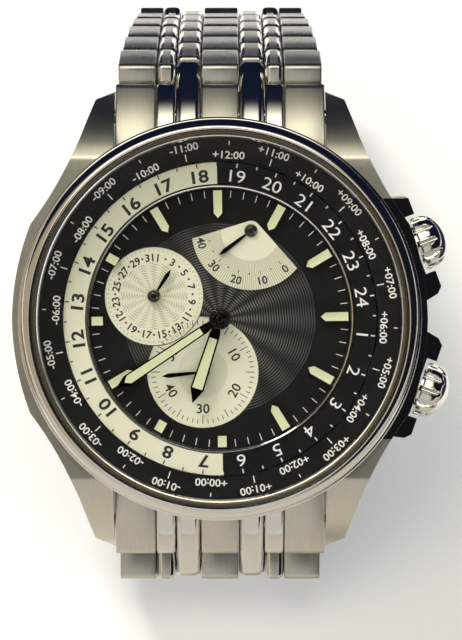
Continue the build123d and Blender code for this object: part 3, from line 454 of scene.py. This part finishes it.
# the room that the metal reflects: a bright window overhead, and a wall on each side
world = bpy.data.worlds.new("studioWorld")
world.use_nodes = True
bpy.context.scene.world = world
tree = world.node_tree
source = addNode(tree, "ShaderNodeTexCoord")
split = addNode(tree, "ShaderNodeSeparateXYZ")
tree.links.new(source.outputs["Generated"], split.inputs[0])
room = dict(
    window=(2.7, 2.58, 2.05, 1), farWall=(0.009, 0.013, 0.034, 1), leftWall=(0.60, 0.50, 0.34, 1),
    rightWall=(0.012, 0.013, 0.02, 1), nearWall=(0.84, 0.79, 0.72, 1), behindCamera=(0.010, 0.010, 0.012, 1),
    farFrom=0.10, farTo=0.34, nearFrom=0.20, nearTo=0.60, sideFrom=0.32, sideTo=0.68, rightFrom=0.20, rightTo=0.50,
    spotFrom=0.930, spotTo=0.975,
)


def ramp(value, low, high):
    spread = addNode(tree, "ShaderNodeMapRange", {"From Min": low, "From Max": high}, interpolation_type="SMOOTHSTEP")
    tree.links.new(value, spread.inputs["Value"])
    return spread.outputs["Result"]


facing = addNode(tree, "ShaderNodeVectorMath", {1: headOut}, operation="DOT_PRODUCT")
tree.links.new(source.outputs["Generated"], facing.inputs[0])
minusX, minusY = (mathNode(tree, "MULTIPLY", split.outputs[axis], -1.0) for axis in "XY")
tint = room["window"]
for value, low, high, wall in (
    (minusY, room["nearFrom"], room["nearTo"], "nearWall"),
    (minusX, room["sideFrom"], room["sideTo"], "leftWall"),
    (split.outputs["X"], room["rightFrom"], room["rightTo"], "rightWall"),
    (split.outputs["Y"], room["farFrom"], room["farTo"], "farWall"),
    (facing.outputs["Value"], room["spotFrom"], room["spotTo"], "behindCamera"),
):
    tint = mixColour(tree, ramp(value, low, high), tint, room[wall])
background = tree.nodes["Background"]
tree.links.new(tint, background.inputs["Color"])
background.inputs["Strength"].default_value = studio["worldFill"]

lamps = dict(
    key=dict(at=(-0.30, 0.30, 0.55), size=0.16, power=studio["keyPower"], tone=(1.0, 0.97, 0.90)),
    side=dict(at=(0.30, -0.45, 0.40), size=0.35, power=studio["sidePower"], tone=(0.92, 0.96, 1.0)),
)
for name, lamp in lamps.items():
    light = bpy.data.lights.new(name + "Softbox", "AREA")
    light.shape = "SQUARE"
    light.size = lamp["size"]
    light.energy = lamp["power"]
    light.color = lamp["tone"]
    holder = bpy.data.objects.new(name + "Softbox", light)
    holder.location = lamp["at"]
    holder.rotation_euler = (Vector(lamp["at"]) - headOrigin).to_track_quat("Z", "Y").to_euler()
    holder.visible_glossy = False    # the metal is lit by the room round it, so no lamp shows in it
    bpy.context.scene.collection.objects.link(holder)

# boards flat on the floor, seen by reflections only
cards = dict(
    farBoard=dict(at=(0.0, 0.22, 0.0), size=(0.60, 0.30), tone=(0.015, 0.020, 0.045, 1)),
    leftBoard=dict(at=(-0.14, 0.0, 0.0), size=(0.16, 0.20), tone=(0.26, 0.19, 0.10, 1)),
    rightBoard=dict(at=(0.15, 0.02, 0.0), size=(0.18, 0.24), tone=(0.02, 0.024, 0.05, 1)),
    nearBoard=dict(at=(0.0, -0.30, 0.0), size=(0.70, 0.50), tone=(0.84, 0.79, 0.74, 1)),
)
cloth = dict(weaveScale=40.0, darker=0.8, roughness=0.9)
for name, card in cards.items():
    bm = bmesh.new()
    made = bmesh.ops.create_grid(bm, x_segments=2, y_segments=2, size=0.5)["verts"]
    bmesh.ops.scale(bm, verts=made, vec=(card["size"][0], card["size"][1], 1))
    mesh = bpy.data.meshes.new(name)
    bm.to_mesh(mesh)
    bm.free()
    mesh.transform(Matrix.Translation(card["at"]))
    material, tree, shader = freshMaterial(name + "Cloth")
    weave = addNode(tree, "ShaderNodeTexNoise", {"Scale": cloth["weaveScale"]})
    source = addNode(tree, "ShaderNodeTexCoord")
    tree.links.new(source.outputs["Object"], weave.inputs["Vector"])
    shade = tuple(channel * cloth["darker"] for channel in card["tone"][:3]) + (1.0,)
    tree.links.new(mixColour(tree, weave.outputs["Fac"], card["tone"], shade), shader.inputs["Base Color"])
    shader.inputs["Roughness"].default_value = cloth["roughness"]
    mesh.materials.append(material)
    board = bpy.data.objects.new(name, mesh)
    bpy.context.scene.collection.objects.link(board)
    board.visible_camera = False
    board.visible_shadow = False
    board.visible_diffuse = False
    board.visible_transmission = False
print("stage set")

# bezel, crystal and seal
bezel = dict(seat=18.85, bore=19.35, outer=20.9, baseZ=9.6, ledgeZ=10.6, rimZ=11.55, crest=19.72, topZ=11.9,
             slope=((20.05, 11.74), (20.35, 11.52), (20.62, 11.2)), step=20.74, stepZ=11.0, stepDrop=0.12,
             stepRise=0.02, soften=0.05, softenFrom=28)
bm = spunRing([
    (bezel["seat"], bezel["baseZ"]), (bezel["outer"], bezel["baseZ"]),
    (bezel["outer"], bezel["stepZ"] - bezel["stepDrop"]), (bezel["step"], bezel["stepZ"]),
    (bezel["slope"][-1][0], bezel["stepZ"] + bezel["stepRise"]), *reversed(bezel["slope"]),
    (bezel["crest"], bezel["topZ"]), (bezel["bore"], bezel["rimZ"]), (bezel["bore"], bezel["ledgeZ"]),
    (bezel["seat"], bezel["ledgeZ"]),
])
softenEdges(bm, bezel["soften"], 2, bezel["softenFrom"])
finishPiece(bm, "bezelRing", "case", ["polishHead"], replaced=["bezel"])

crystal = dict(radius=19.02, bottomZ=10.62, topZ=12.0, bevel=0.12, segments=180)
bm = bmesh.new()
made = bmesh.ops.create_cone(bm, cap_ends=True, segments=crystal["segments"], radius1=crystal["radius"],
                             radius2=crystal["radius"], depth=crystal["topZ"] - crystal["bottomZ"])["verts"]
bmesh.ops.translate(bm, verts=made, vec=(0, 0, (crystal["topZ"] + crystal["bottomZ"]) / 2))
rim = [edge for edge in bm.edges
       if edge.calc_face_angle(0.0) > 1 and all(v.co.z > crystal["topZ"] - 0.01 for v in edge.verts)]
softenEdges(bm, crystal["bevel"], 3, edges=rim)
finishPiece(bm, "crystalDisc", "case", ["glass"], replaced=["crystal"])

seal = dict(inner=19.05, outer=19.33, bottomZ=10.62, topZ=11.6, soften=0.08)
bm = spunRing([(seal["inner"], seal["bottomZ"]), (seal["outer"], seal["bottomZ"]), (seal["outer"], seal["topZ"]),
               (seal["inner"], seal["topZ"])])
softenEdges(bm, seal["soften"], 2)
finishPiece(bm, "crystalSeal", "case", ["rubber"], replaced=["crystal_gasket"])
print("bezel made")

# printing on the rings and dials
ring = dict(topZ=9.3, numeral=1.3, middle=14.85, widen=1.2, darkWeight=0.045, tickIn=15.70, tickOut=16.14,
            halfIn=15.82, tickWidth=0.13, zero=18.577)
lightBm, darkBm = bmesh.new(), bmesh.new()
for hour in range(1, 25):
    turn = (hour - ring["zero"]) * 15
    night = 0 < (turn + ringShift) % 360 < 180
    addLabel(lightBm if night else darkBm, str(hour), ring["numeral"], labelPlace(ring["middle"], turn, ring["topZ"]),
             0.0 if night else ring["darkWeight"], ring["widen"])
    for inner, offset in ((ring["tickIn"], 0), (ring["halfIn"], 7.5)):
        side = lightBm if 0 < (turn + offset + ringShift) % 360 < 180 else darkBm
        addTick(side, ring["tickWidth"], inner, ring["tickOut"], ring["topZ"], turn + offset)
finishPiece(lightBm, "hourPrintLight", "day_ring", ["white"])
finishPiece(darkBm, "hourPrintDark", "day_ring", ["ink"])

# hour offsets stand where the photographed ring has place names, on two rows in turn
offsets = dict(topZ=9.7, height=0.8, weight=0.014, widen=1.1, rows=(16.98, 18.02),
               ticks=((18.0, 18.4), (16.575, 17.325)), tickWidth=0.11, shift=3, first=12)
bm = bmesh.new()
for index in range(24):
    hours = (offsets["first"] - index + 11) % 24 - 11
    words = "%s%02d:00" % ("+" if hours >= 0 else "-", abs(hours))
    turn = index * 15 + offsets["shift"]
    place = labelPlace(offsets["rows"][index % 2], turn, offsets["topZ"])
    addLabel(bm, words, offsets["height"], place, offsets["weight"], offsets["widen"])
    inner, outer = offsets["ticks"][index % 2]
    addTick(bm, offsets["tickWidth"], inner, outer, offsets["topZ"], turn)
finishPiece(bm, "offsetPrint", "city_ring", ["white"])

dialTurn = 1.1    # the photographed dial sits this many degrees anticlockwise in its case
minuteTrack = dict(inner=12.55, outer=13.3, width=0.075, topZ=8.6)
bm = bmesh.new()
for minute in range(60):
    addTick(bm, minuteTrack["width"], minuteTrack["inner"], minuteTrack["outer"], minuteTrack["topZ"],
            6 * minute - dialTurn)
finishPiece(bm, "minuteTrack", "case", ["white"])

flange = dict(inner=13.55, outer=13.8, bottomZ=9.0, topZ=9.38, fall=0.12, soften=0.03)
bm = spunRing([(flange["inner"], flange["bottomZ"]), (flange["outer"], flange["bottomZ"]),
               (flange["outer"], flange["topZ"]), (flange["inner"], flange["topZ"] - flange["fall"])])
softenEdges(bm, flange["soften"], 1)
finishPiece(bm, "dialFlangeLine", "case", ["polishHead"])

secondsScale = dict(topZ=8.5, ticksIn=4.9, ticksOut=5.35, longer=0.45, tickWidth=0.08, numerals=3.75, height=1.0,
                    weight=0.02, widen=1.05)
bm = bmesh.new()
for second in range(60):
    inner = secondsScale["ticksIn"] - (secondsScale["longer"] if second % 5 == 0 else 0.0)
    addTick(bm, secondsScale["tickWidth"], inner, secondsScale["ticksOut"], secondsScale["topZ"], 6 * second, secondsAt)
for second in range(10, 60, 10):
    place = labelPlace(secondsScale["numerals"], second * 6, secondsScale["topZ"], secondsAt, inward=15 < second < 45)
    addLabel(bm, str(second), secondsScale["height"], place, secondsScale["weight"], secondsScale["widen"])
finishPiece(bm, "secondsScale", "case", ["ink"])

dateScale = dict(topZ=8.5, numerals=4.0, height=0.8, weight=0.024, dots=4.0, dotSize=0.2, track=4.75, trackDot=0.09,
                 trackDots=62)
bm = bmesh.new()
for day in range(1, 32):
    turn = (day - 0.5) * 360 / 31
    if day % 2:
        place = labelPlace(dateScale["numerals"], turn, dateScale["topZ"], dateAt, inward=105 < turn < 255)
        addLabel(bm, str(day), dateScale["height"], place, dateScale["weight"])
    else:
        addDot(bm, dateScale["dotSize"], clockPoint(dateScale["dots"], turn, dateScale["topZ"], dateAt))
for dot in range(dateScale["trackDots"]):
    turn = dot * 360 / dateScale["trackDots"]
    addDot(bm, dateScale["trackDot"], clockPoint(dateScale["track"], turn, dateScale["topZ"], dateAt))
finishPiece(bm, "dateScale", "case", ["ink"])

fan = dict(boss=1.02, reach=6.14, first=129.0, last=262.4, bottomZ=8.6, topZ=8.745, steps=28, bossSteps=12)
bm = bmesh.new()
touch = degrees(acos(fan["boss"] / fan["reach"]))
outline = []
for radius, start, end, steps in (
    (fan["reach"], fan["first"], fan["last"], fan["steps"]),
    (fan["boss"], fan["last"] + touch, fan["first"] - touch + 360, fan["bossSteps"]),
):
    outline += [clockPoint(radius, start + (end - start) * step / steps, 0, reserveAt) for step in range(steps + 1)]
plateFrom(bm, [(point.x, point.y) for point in outline], fan["bottomZ"], fan["topZ"])
finishPiece(bm, "reserveSector", "case", ["fan"], replaced=["reserve_fan"])

fanScale = dict(topZ=8.75, numerals=5.25, height=0.85, weight=0.018, first=138.0, step=29.5, tick=4.45, tickLength=0.32,
                tickWidth=0.07, dotSize=0.14)
bm = bmesh.new()
for index, words in enumerate(("0", "10", "20", "30", "40")):
    turn = fanScale["first"] + index * fanScale["step"]
    place = labelPlace(fanScale["numerals"], turn, fanScale["topZ"], reserveAt, inward=True)
    addLabel(bm, words, fanScale["height"], place, fanScale["weight"])
    inner = fanScale["tick"] - fanScale["tickLength"] / 2
    addTick(bm, fanScale["tickWidth"], inner, inner + fanScale["tickLength"], fanScale["topZ"], turn, reserveAt)
    if index < 4:
        halfway = turn + fanScale["step"] / 2
        addDot(bm, fanScale["dotSize"], clockPoint(fanScale["tick"], halfway, fanScale["topZ"], reserveAt))
finishPiece(bm, "reserveScale", "case", ["ink"])
print("printing made")

# hour markers and hands: a steel frame round a filled window
markers = dict(outer=13.35, width=1.04, long=3.0, short=1.3, bottomZ=8.6, topZ=9.1, rim=0.1, sink=0.03,
               shortHours=(6, 7, 9, 10))
bm = bmesh.new()
for hour in range(1, 13):
    half, isShort = markers["width"] / 2, hour in markers["shortHours"]
    tip = markers["outer"] - (markers["short"] if isShort else markers["long"])
    shoulder = tip if isShort else tip + half
    outline = [(-half, markers["outer"]), (-half, shoulder), (0, tip), (half, shoulder), (half, markers["outer"])]
    if isShort:
        del outline[2]
    verts, top = plateFrom(bm, outline, markers["bottomZ"], markers["topZ"])
    bmesh.ops.inset_individual(bm, faces=[top], thickness=markers["rim"], depth=-markers["sink"])
    top.material_index = 1
    turned = list({v for v in verts} | {v for v in top.verts})
    bmesh.ops.rotate(bm, verts=turned, cent=(0, 0, 0), matrix=Matrix.Rotation(radians(dialTurn - 30 * hour), 3, "Z"))
finishPiece(bm, "hourMarkers", "case", ["darkSteel", "lume"], replaced=["hour_markers"])

handForm = dict(neck=0.5, neckEnd=0.8, shoulder=0.8, shoulderEnd=1.7, fillTaper=0.75, fillRise=0.03, hubSteps=48,
                hubBevel=0.16)


def makeHand(name, node, centre, look, hub):
    bm = bmesh.new()
    half = look["width"] / 2
    right = [(half * handForm["neck"], -look["tail"]), (half * handForm["neck"], handForm["neckEnd"]),
             (half * handForm["shoulder"], handForm["shoulderEnd"]), (half, look["length"] - look["point"])]
    left = [(-x, y) for x, y in reversed(right)]
    outline = left[-1:] + right + [(0, look["length"])] + left[:-1]
    topZ = look["z"] + look["thick"]
    plateFrom(bm, outline, look["z"], topZ)
    if look["window"]:
        inner = half - look["frameWidth"]
        window = [(-inner * handForm["fillTaper"], look["window"]), (inner * handForm["fillTaper"], look["window"]),
                  (inner, look["windowEnd"]), (0, look["windowEnd"] + look["windowPoint"]),
                  (-inner, look["windowEnd"])]
        filling = plateFrom(bm, window, topZ, topZ + handForm["fillRise"])[0]
        for face in {f for v in filling for f in v.link_faces}:
            face.material_index = 1
    for radius, low, high in hub:
        made = bmesh.ops.create_cone(bm, cap_ends=True, segments=handForm["hubSteps"], radius1=radius, radius2=radius,
                                     depth=high - low)["verts"]
        bmesh.ops.translate(bm, verts=made, vec=(0, 0, (low + high) / 2))
        rim = [e for e in {e for v in made for e in v.link_edges} if all(v.co.z > high - 1e-4 for v in e.verts)]
        width = min(handForm["hubBevel"], radius * 0.3, (high - low) * 0.9)
        cut = bmesh.ops.bevel(bm, geom=rim, offset=width, segments=4, profile=0.5, affect="EDGES", material=-1,
                              clamp_overlap=True)
        for face in {f for v in set(made) | set(cut["verts"]) if v.is_valid for f in v.link_faces}:
            face.material_index = 2
    bmesh.ops.rotate(bm, verts=bm.verts, cent=(0, 0, 0), matrix=Matrix.Rotation(radians(look["turn"]), 3, "Z"))
    bmesh.ops.translate(bm, verts=bm.verts, vec=(centre[0], centre[1], 0))
    finishPiece(bm, name, node, ["darkSteel", "lume", look["hub"]], replaced=[node])


# each hub disc is radius, bottom and top
hands = (
    ("minuteHand", "minute_hand", (0, 0), dict(
        length=12.9, tail=1.1, width=1.2, point=1.3, z=9.75, thick=0.22, window=2.3, windowEnd=11.3, windowPoint=0.55,
        frameWidth=0.15, turn=-236.2, hub="darkSteel"),
     ((0.55, 8.5, 9.75), (1.12, 9.75, 9.99), (0.82, 9.99, 10.12), (0.42, 10.12, 10.26))),
    ("hourHand", "hour_hand", (0, 0), dict(
        length=9.2, tail=1.1, width=1.42, point=1.55, z=9.25, thick=0.22, window=2.15, windowEnd=7.6, windowPoint=0.0,
        frameWidth=0.17, turn=-198.0, hub="darkSteel"),
     ((1.14, 9.25, 9.5),)),
)
smallHand = dict(tail=0.55, width=0.46, point=0.7, z=8.8, thick=0.13, window=0, hub="rimSteel")
smallHub = ((0.24, 8.3, 8.8), (0.70, 8.8, 8.94), (0.38, 8.94, 9.02))
hands += (
    ("secondsHand", "seconds_hand", secondsAt, dict(smallHand, length=4.3, turn=-264.0), smallHub),
    ("dateHand", "date_hand", dateAt, dict(smallHand, length=3.3, turn=-32.5), smallHub),
    ("reserveHand", "reserve_hand", reserveAt, dict(smallHand, length=4.2, turn=-232.6), smallHub),
)
for name, node, centre, look, hub in hands:
    makeHand(name, node, centre, look, hub)
print("hands made")

# crowns
crown = dict(radius=2.88, foot=22.0, collar=0.25, body=0.85, dome=2.1, edge=0.12, flutes=12, depth=0.46,
             flare=1.35, axisZ=5.9, collarRadius=2.1, stepsPerFlute=14)
for name, node, angle in (("ringCrownFluted", "ring_crown", 20.5), ("windingCrownFluted", "winding_crown", -19.0)):
    top = crown["collar"] + crown["body"]
    profile = [(0, 0), (crown["collarRadius"], 0), (crown["collarRadius"], crown["collar"]),
               (crown["radius"] - crown["edge"], crown["collar"]),
               (crown["radius"], crown["collar"] + crown["edge"])]
    profile += [(crown["radius"], crown["collar"] + crown["body"] * step / 4) for step in (1, 2, 3)]
    profile += [(crown["radius"] * cos(radians(step)), top + crown["dome"] * sin(radians(step)))
                for step in range(0, 90, 6)]
    bm = bmesh.new()
    verts = [bm.verts.new((r, 0, z)) for r, z in profile + [(0, top + crown["dome"])]]
    edges = [bm.edges.new(pair) for pair in zip(verts, verts[1:])]
    bmesh.ops.spin(bm, geom=verts + edges, cent=(0, 0, 0), axis=(0, 0, 1), angle=2 * pi,
                   steps=crown["flutes"] * crown["stepsPerFlute"], use_merge=True)
    for v in bm.verts:
        wave = max(0.0, min(1.0, cos(atan2(v.co.y, v.co.x) * crown["flutes"]) * crown["flare"]))
        limit = crown["radius"] - (crown["depth"] * wave if v.co.z > crown["collar"] - 0.01 else 0.0)
        reach = hypot(v.co.x, v.co.y)
        if reach > limit:
            bmesh.ops.scale(bm, verts=[v], vec=(limit / reach, limit / reach, 1))
    outward = Matrix.Rotation(radians(angle), 4, "Z") @ Matrix.Translation((crown["foot"], 0, crown["axisZ"]))
    bmesh.ops.transform(bm, matrix=outward @ Matrix.Rotation(pi / 2, 4, "Y"), verts=bm.verts)
    finishPiece(bm, name, node, ["polishHead"], replaced=[node], bevelAngle=50)
print("crowns made")

# middle case: the CAD's own shape, merged, its edges broken and its faces split where the finish changes
caseLook = dict(soften=0.0003, softenFrom=35, smoothUnder=60, guards=12.5, satinFrom=0.35)
headTurn = Matrix.Rotation(-lean, 3, "X")


def isSatin(face):
    middle = headPlace.inverted() @ face.calc_center_median()
    crownSide = middle.x > 0 and -caseLook["guards"] < middle.y < caseLook["guards"]
    return (headTurn @ face.normal).z > caseLook["satinFrom"] and not crownSide


bm = bmesh.new()
bm.from_mesh(nodes["mid_case"].data)
bmesh.ops.remove_doubles(bm, verts=bm.verts, dist=2e-6)
bmesh.ops.dissolve_limit(bm, angle_limit=radians(1.0), verts=bm.verts, edges=bm.edges)
softenEdges(bm, caseLook["soften"], 2, caseLook["softenFrom"])
for level in (-caseLook["guards"], caseLook["guards"]):
    bmesh.ops.bisect_plane(bm, geom=bm.verts[:] + bm.edges[:] + bm.faces[:], dist=1e-7,
                           plane_co=headPlace @ Vector((0, level, 0)), plane_no=headPlace.to_3x3() @ Vector((0, 1, 0)))
for face in bm.faces:
    face.material_index = 0 if isSatin(face) else 1
casePiece = finishPiece(bm, "caseMiddle", "case", ["satinHead", "polishHead"], place=Matrix.Identity(4),
                        replaced=["mid_case"], bevelAngle=caseLook["smoothUnder"])
even = casePiece.modifiers.new("evenNormals", "WEIGHTED_NORMAL")
even.keep_sharp = True
print("case made")

# bracelet: bars side by side, brushed and polished in turn
band = dict(pitch=7.6, half=1.7, nose=1.75, fingerNose=1.7, centre=1.975, finger=4.675, narrow=6.725, gap=0.06,
            lugGap=22.0, claspWidth=18.4)
# brushed bars, then polished ones: round is the bevel on the edges across the band, soften on all the rest
barEdge = (dict(round=0.7, soften=0.16, segments=2), dict(round=0.6, soften=0.6, segments=4))


def addBar(bm, fromX, toX, fromY, toY, material):
    half, edge = band["half"], barEdge[material]
    made = addBox(bm, (toX - fromX, toY - fromY, 2 * half), ((fromX + toX) / 2, (fromY + toY) / 2, 0))
    across = [e for e in {e for v in made for e in v.link_edges} if abs(e.verts[0].co.x - e.verts[1].co.x) > 1e-4]
    cut = bmesh.ops.bevel(bm, geom=across, offset=edge["round"], segments=4, profile=0.5, affect="EDGES", material=-1,
                          clamp_overlap=True)
    near = {v for v in made if v.is_valid} | {v for v in cut["verts"]}
    faces = {f for v in near for f in v.link_faces}
    rims = {e for f in faces for e in f.edges if e.calc_face_angle(0.0) > radians(60)}
    cut = bmesh.ops.bevel(bm, geom=list(rims), offset=edge["soften"], segments=edge["segments"], profile=0.5,
                          affect="EDGES", material=-1, clamp_overlap=True)
    for face in set(cut["faces"]) | {f for f in faces if f.is_valid}:
        face.material_index = material


def linkBars(bm, width):
    gap = band["gap"] / 2
    rowEnd = band["pitch"] / 2 + band["nose"]
    fingerFrom, fingerTo = band["pitch"] / 2 - band["fingerNose"], band["pitch"] + band["fingerNose"]
    bars = [(-band["centre"], band["centre"], -band["nose"], rowEnd, 0)]
    for side in (-1, 1):
        bars.append((side * band["centre"], side * band["finger"], fingerFrom, fingerTo, 1))
        bars.append((side * band["finger"], side * band["narrow"], -band["nose"], rowEnd, 1))
        bars.append((side * band["narrow"], side * width / 2, -band["nose"], rowEnd, 0))
    for first, last, start, end, material in bars:
        addBar(bm, min(first, last) + gap, max(first, last) - gap, start, end, material)


def linkPlace(pivot, nextPivot, flip):
    along = (nextPivot - pivot).normalized()
    lateral = Vector((-1 if flip else 1, 0, 0))
    up = lateral.cross(along)
    turn = Matrix((lateral, along, up)).transposed().to_4x4()
    return Matrix.Translation(pivot) @ turn @ Matrix.Scale(0.001, 4)


rearPivots = [Vector(joints["rear_link_%d_bend" % i]["pos_m"]) for i in range(1, 8)]
frontPivots = [Vector(joints["front_link_%d_bend" % i]["pos_m"]) for i in range(1, 5)]
frontPivots.append(Vector(joints["inner_blade_bend"]["pos_m"]))
rearPivots.append(Vector((0, -frontPivots[-1].y, frontPivots[-1].z)))
for ends, label, flip in ((rearPivots, "rear", False), (frontPivots, "front", True)):
    count = len(ends) - 1
    for index in range(count):
        width = band["lugGap"] - (band["lugGap"] - band["claspWidth"]) * (index + 1) / count
        bm = bmesh.new()
        linkBars(bm, width)
        node = "%s_link_%d" % (label, index + 1)
        place = linkPlace(ends[index], ends[index + 1], flip)
        finishPiece(bm, "%sLink%dBars" % (label, index + 1), node, ["satinBand", "polishBand"], place=place,
                    replaced=[node], bevelAngle=50)

endLink = dict(innerZ=7.6, bottomZ=0.9, inY=17.2, curveFrom=18.0, run=7.6, fall=3.1, power=1.5, lipY=24.75,
               pivotY=25.7, pivotZ=2.6, clear=2.35)
columnEdge = (dict(soften=0.16, segments=2), dict(soften=0.7, segments=4))


# side view of one bar of the end link: a finger goes round the first link's pin, the rest stop short of it
def columnOutline(finger):
    outline = [(endLink["inY"], endLink["innerZ"])]
    for step in range(17):
        y = endLink["curveFrom"] + endLink["run"] * step / 16
        if finger or y < endLink["lipY"]:
            outline.append((y, endLink["innerZ"] - endLink["fall"] * (step / 16) ** endLink["power"]))
    radius, angles = (band["half"], range(56, -91, -18)) if finger else (endLink["clear"], range(114, 226, 14))
    outline += [(endLink["pivotY"] + radius * cos(radians(angle)), endLink["pivotZ"] + radius * sin(radians(angle)))
                for angle in angles]
    return outline + [(endLink["inY"], endLink["bottomZ"])]


for side, label in ((1, "rear"), (-1, "front")):
    bm = bmesh.new()
    gap = band["gap"] / 2
    for low, high, material, finger in (
        (0, band["centre"], 0, False), (band["centre"], band["finger"], 1, True),
        (band["finger"], band["narrow"], 1, False), (band["narrow"], band["lugGap"] / 2, 0, False),
    ):
        edge = columnEdge[material]
        for mirrored in ((-1, 1) if low else (1,)):
            fromX, toX = sorted((mirrored * low, mirrored * high)) if low else (-high, high)
            verts = [bm.verts.new((fromX + gap, y, z)) for y, z in columnOutline(finger)]
            face = bm.faces.new(verts)
            region = bmesh.ops.extrude_face_region(bm, geom=[face])["geom"]
            lifted = [item for item in region if isinstance(item, bmesh.types.BMVert)]
            bmesh.ops.translate(bm, verts=lifted, vec=(toX - fromX - 2 * gap, 0, 0))
            corners = set(verts + lifted)
            edges = {e for v in corners for e in v.link_edges if e.calc_face_angle(0.0) > radians(50)}
            cut = bmesh.ops.bevel(bm, geom=list(edges), offset=edge["soften"], segments=edge["segments"], profile=0.5,
                                  affect="EDGES", material=-1, clamp_overlap=True)
            for f in {f for v in cut["verts"] for f in v.link_faces}:
                f.material_index = material
    if side < 0:
        bmesh.ops.rotate(bm, verts=bm.verts, cent=(0, 0, 0), matrix=Matrix.Rotation(pi, 3, "Z"))
    finishPiece(bm, label + "EndLinkBars", "case", ["satinHead", "polishHead"], replaced=[label + "_end_link"],
                bevelAngle=50)
print("bracelet made")

# CAD nodes that stay, with their finish
kept = dict(
    case_back="backSteel", case_back_gasket="rubber", crown_tubes="polishHead", spring_bars="polishHead",
    dial_rim="rimSteel", dial="dial", seconds_dial="secondsDial", date_dial="dateDial", city_ring="cityRing",
    day_ring="dayRing", ring_stem="bridgeSteel", winding_stem="bridgeSteel",
    main_plate="brass", train_bridge="bridgeSteel", balance_cock="bridgeSteel", rotor="bridgeSteel",
    movement_holder="bridgeSteel", mainspring_barrel="brass", centre_wheel="brass", third_wheel="brass",
    fourth_wheel="brass", escape_wheel="brass", pallet_lever="bridgeSteel", balance_wheel="brass",
    inner_blade="satinBand", outer_blade="polishBand", clasp_cover="satinBand",
)
for node, key in kept.items():
    mesh = nodes[node].data
    mesh.materials.clear()
    mesh.materials.append(finish[key])
print("finishes set")
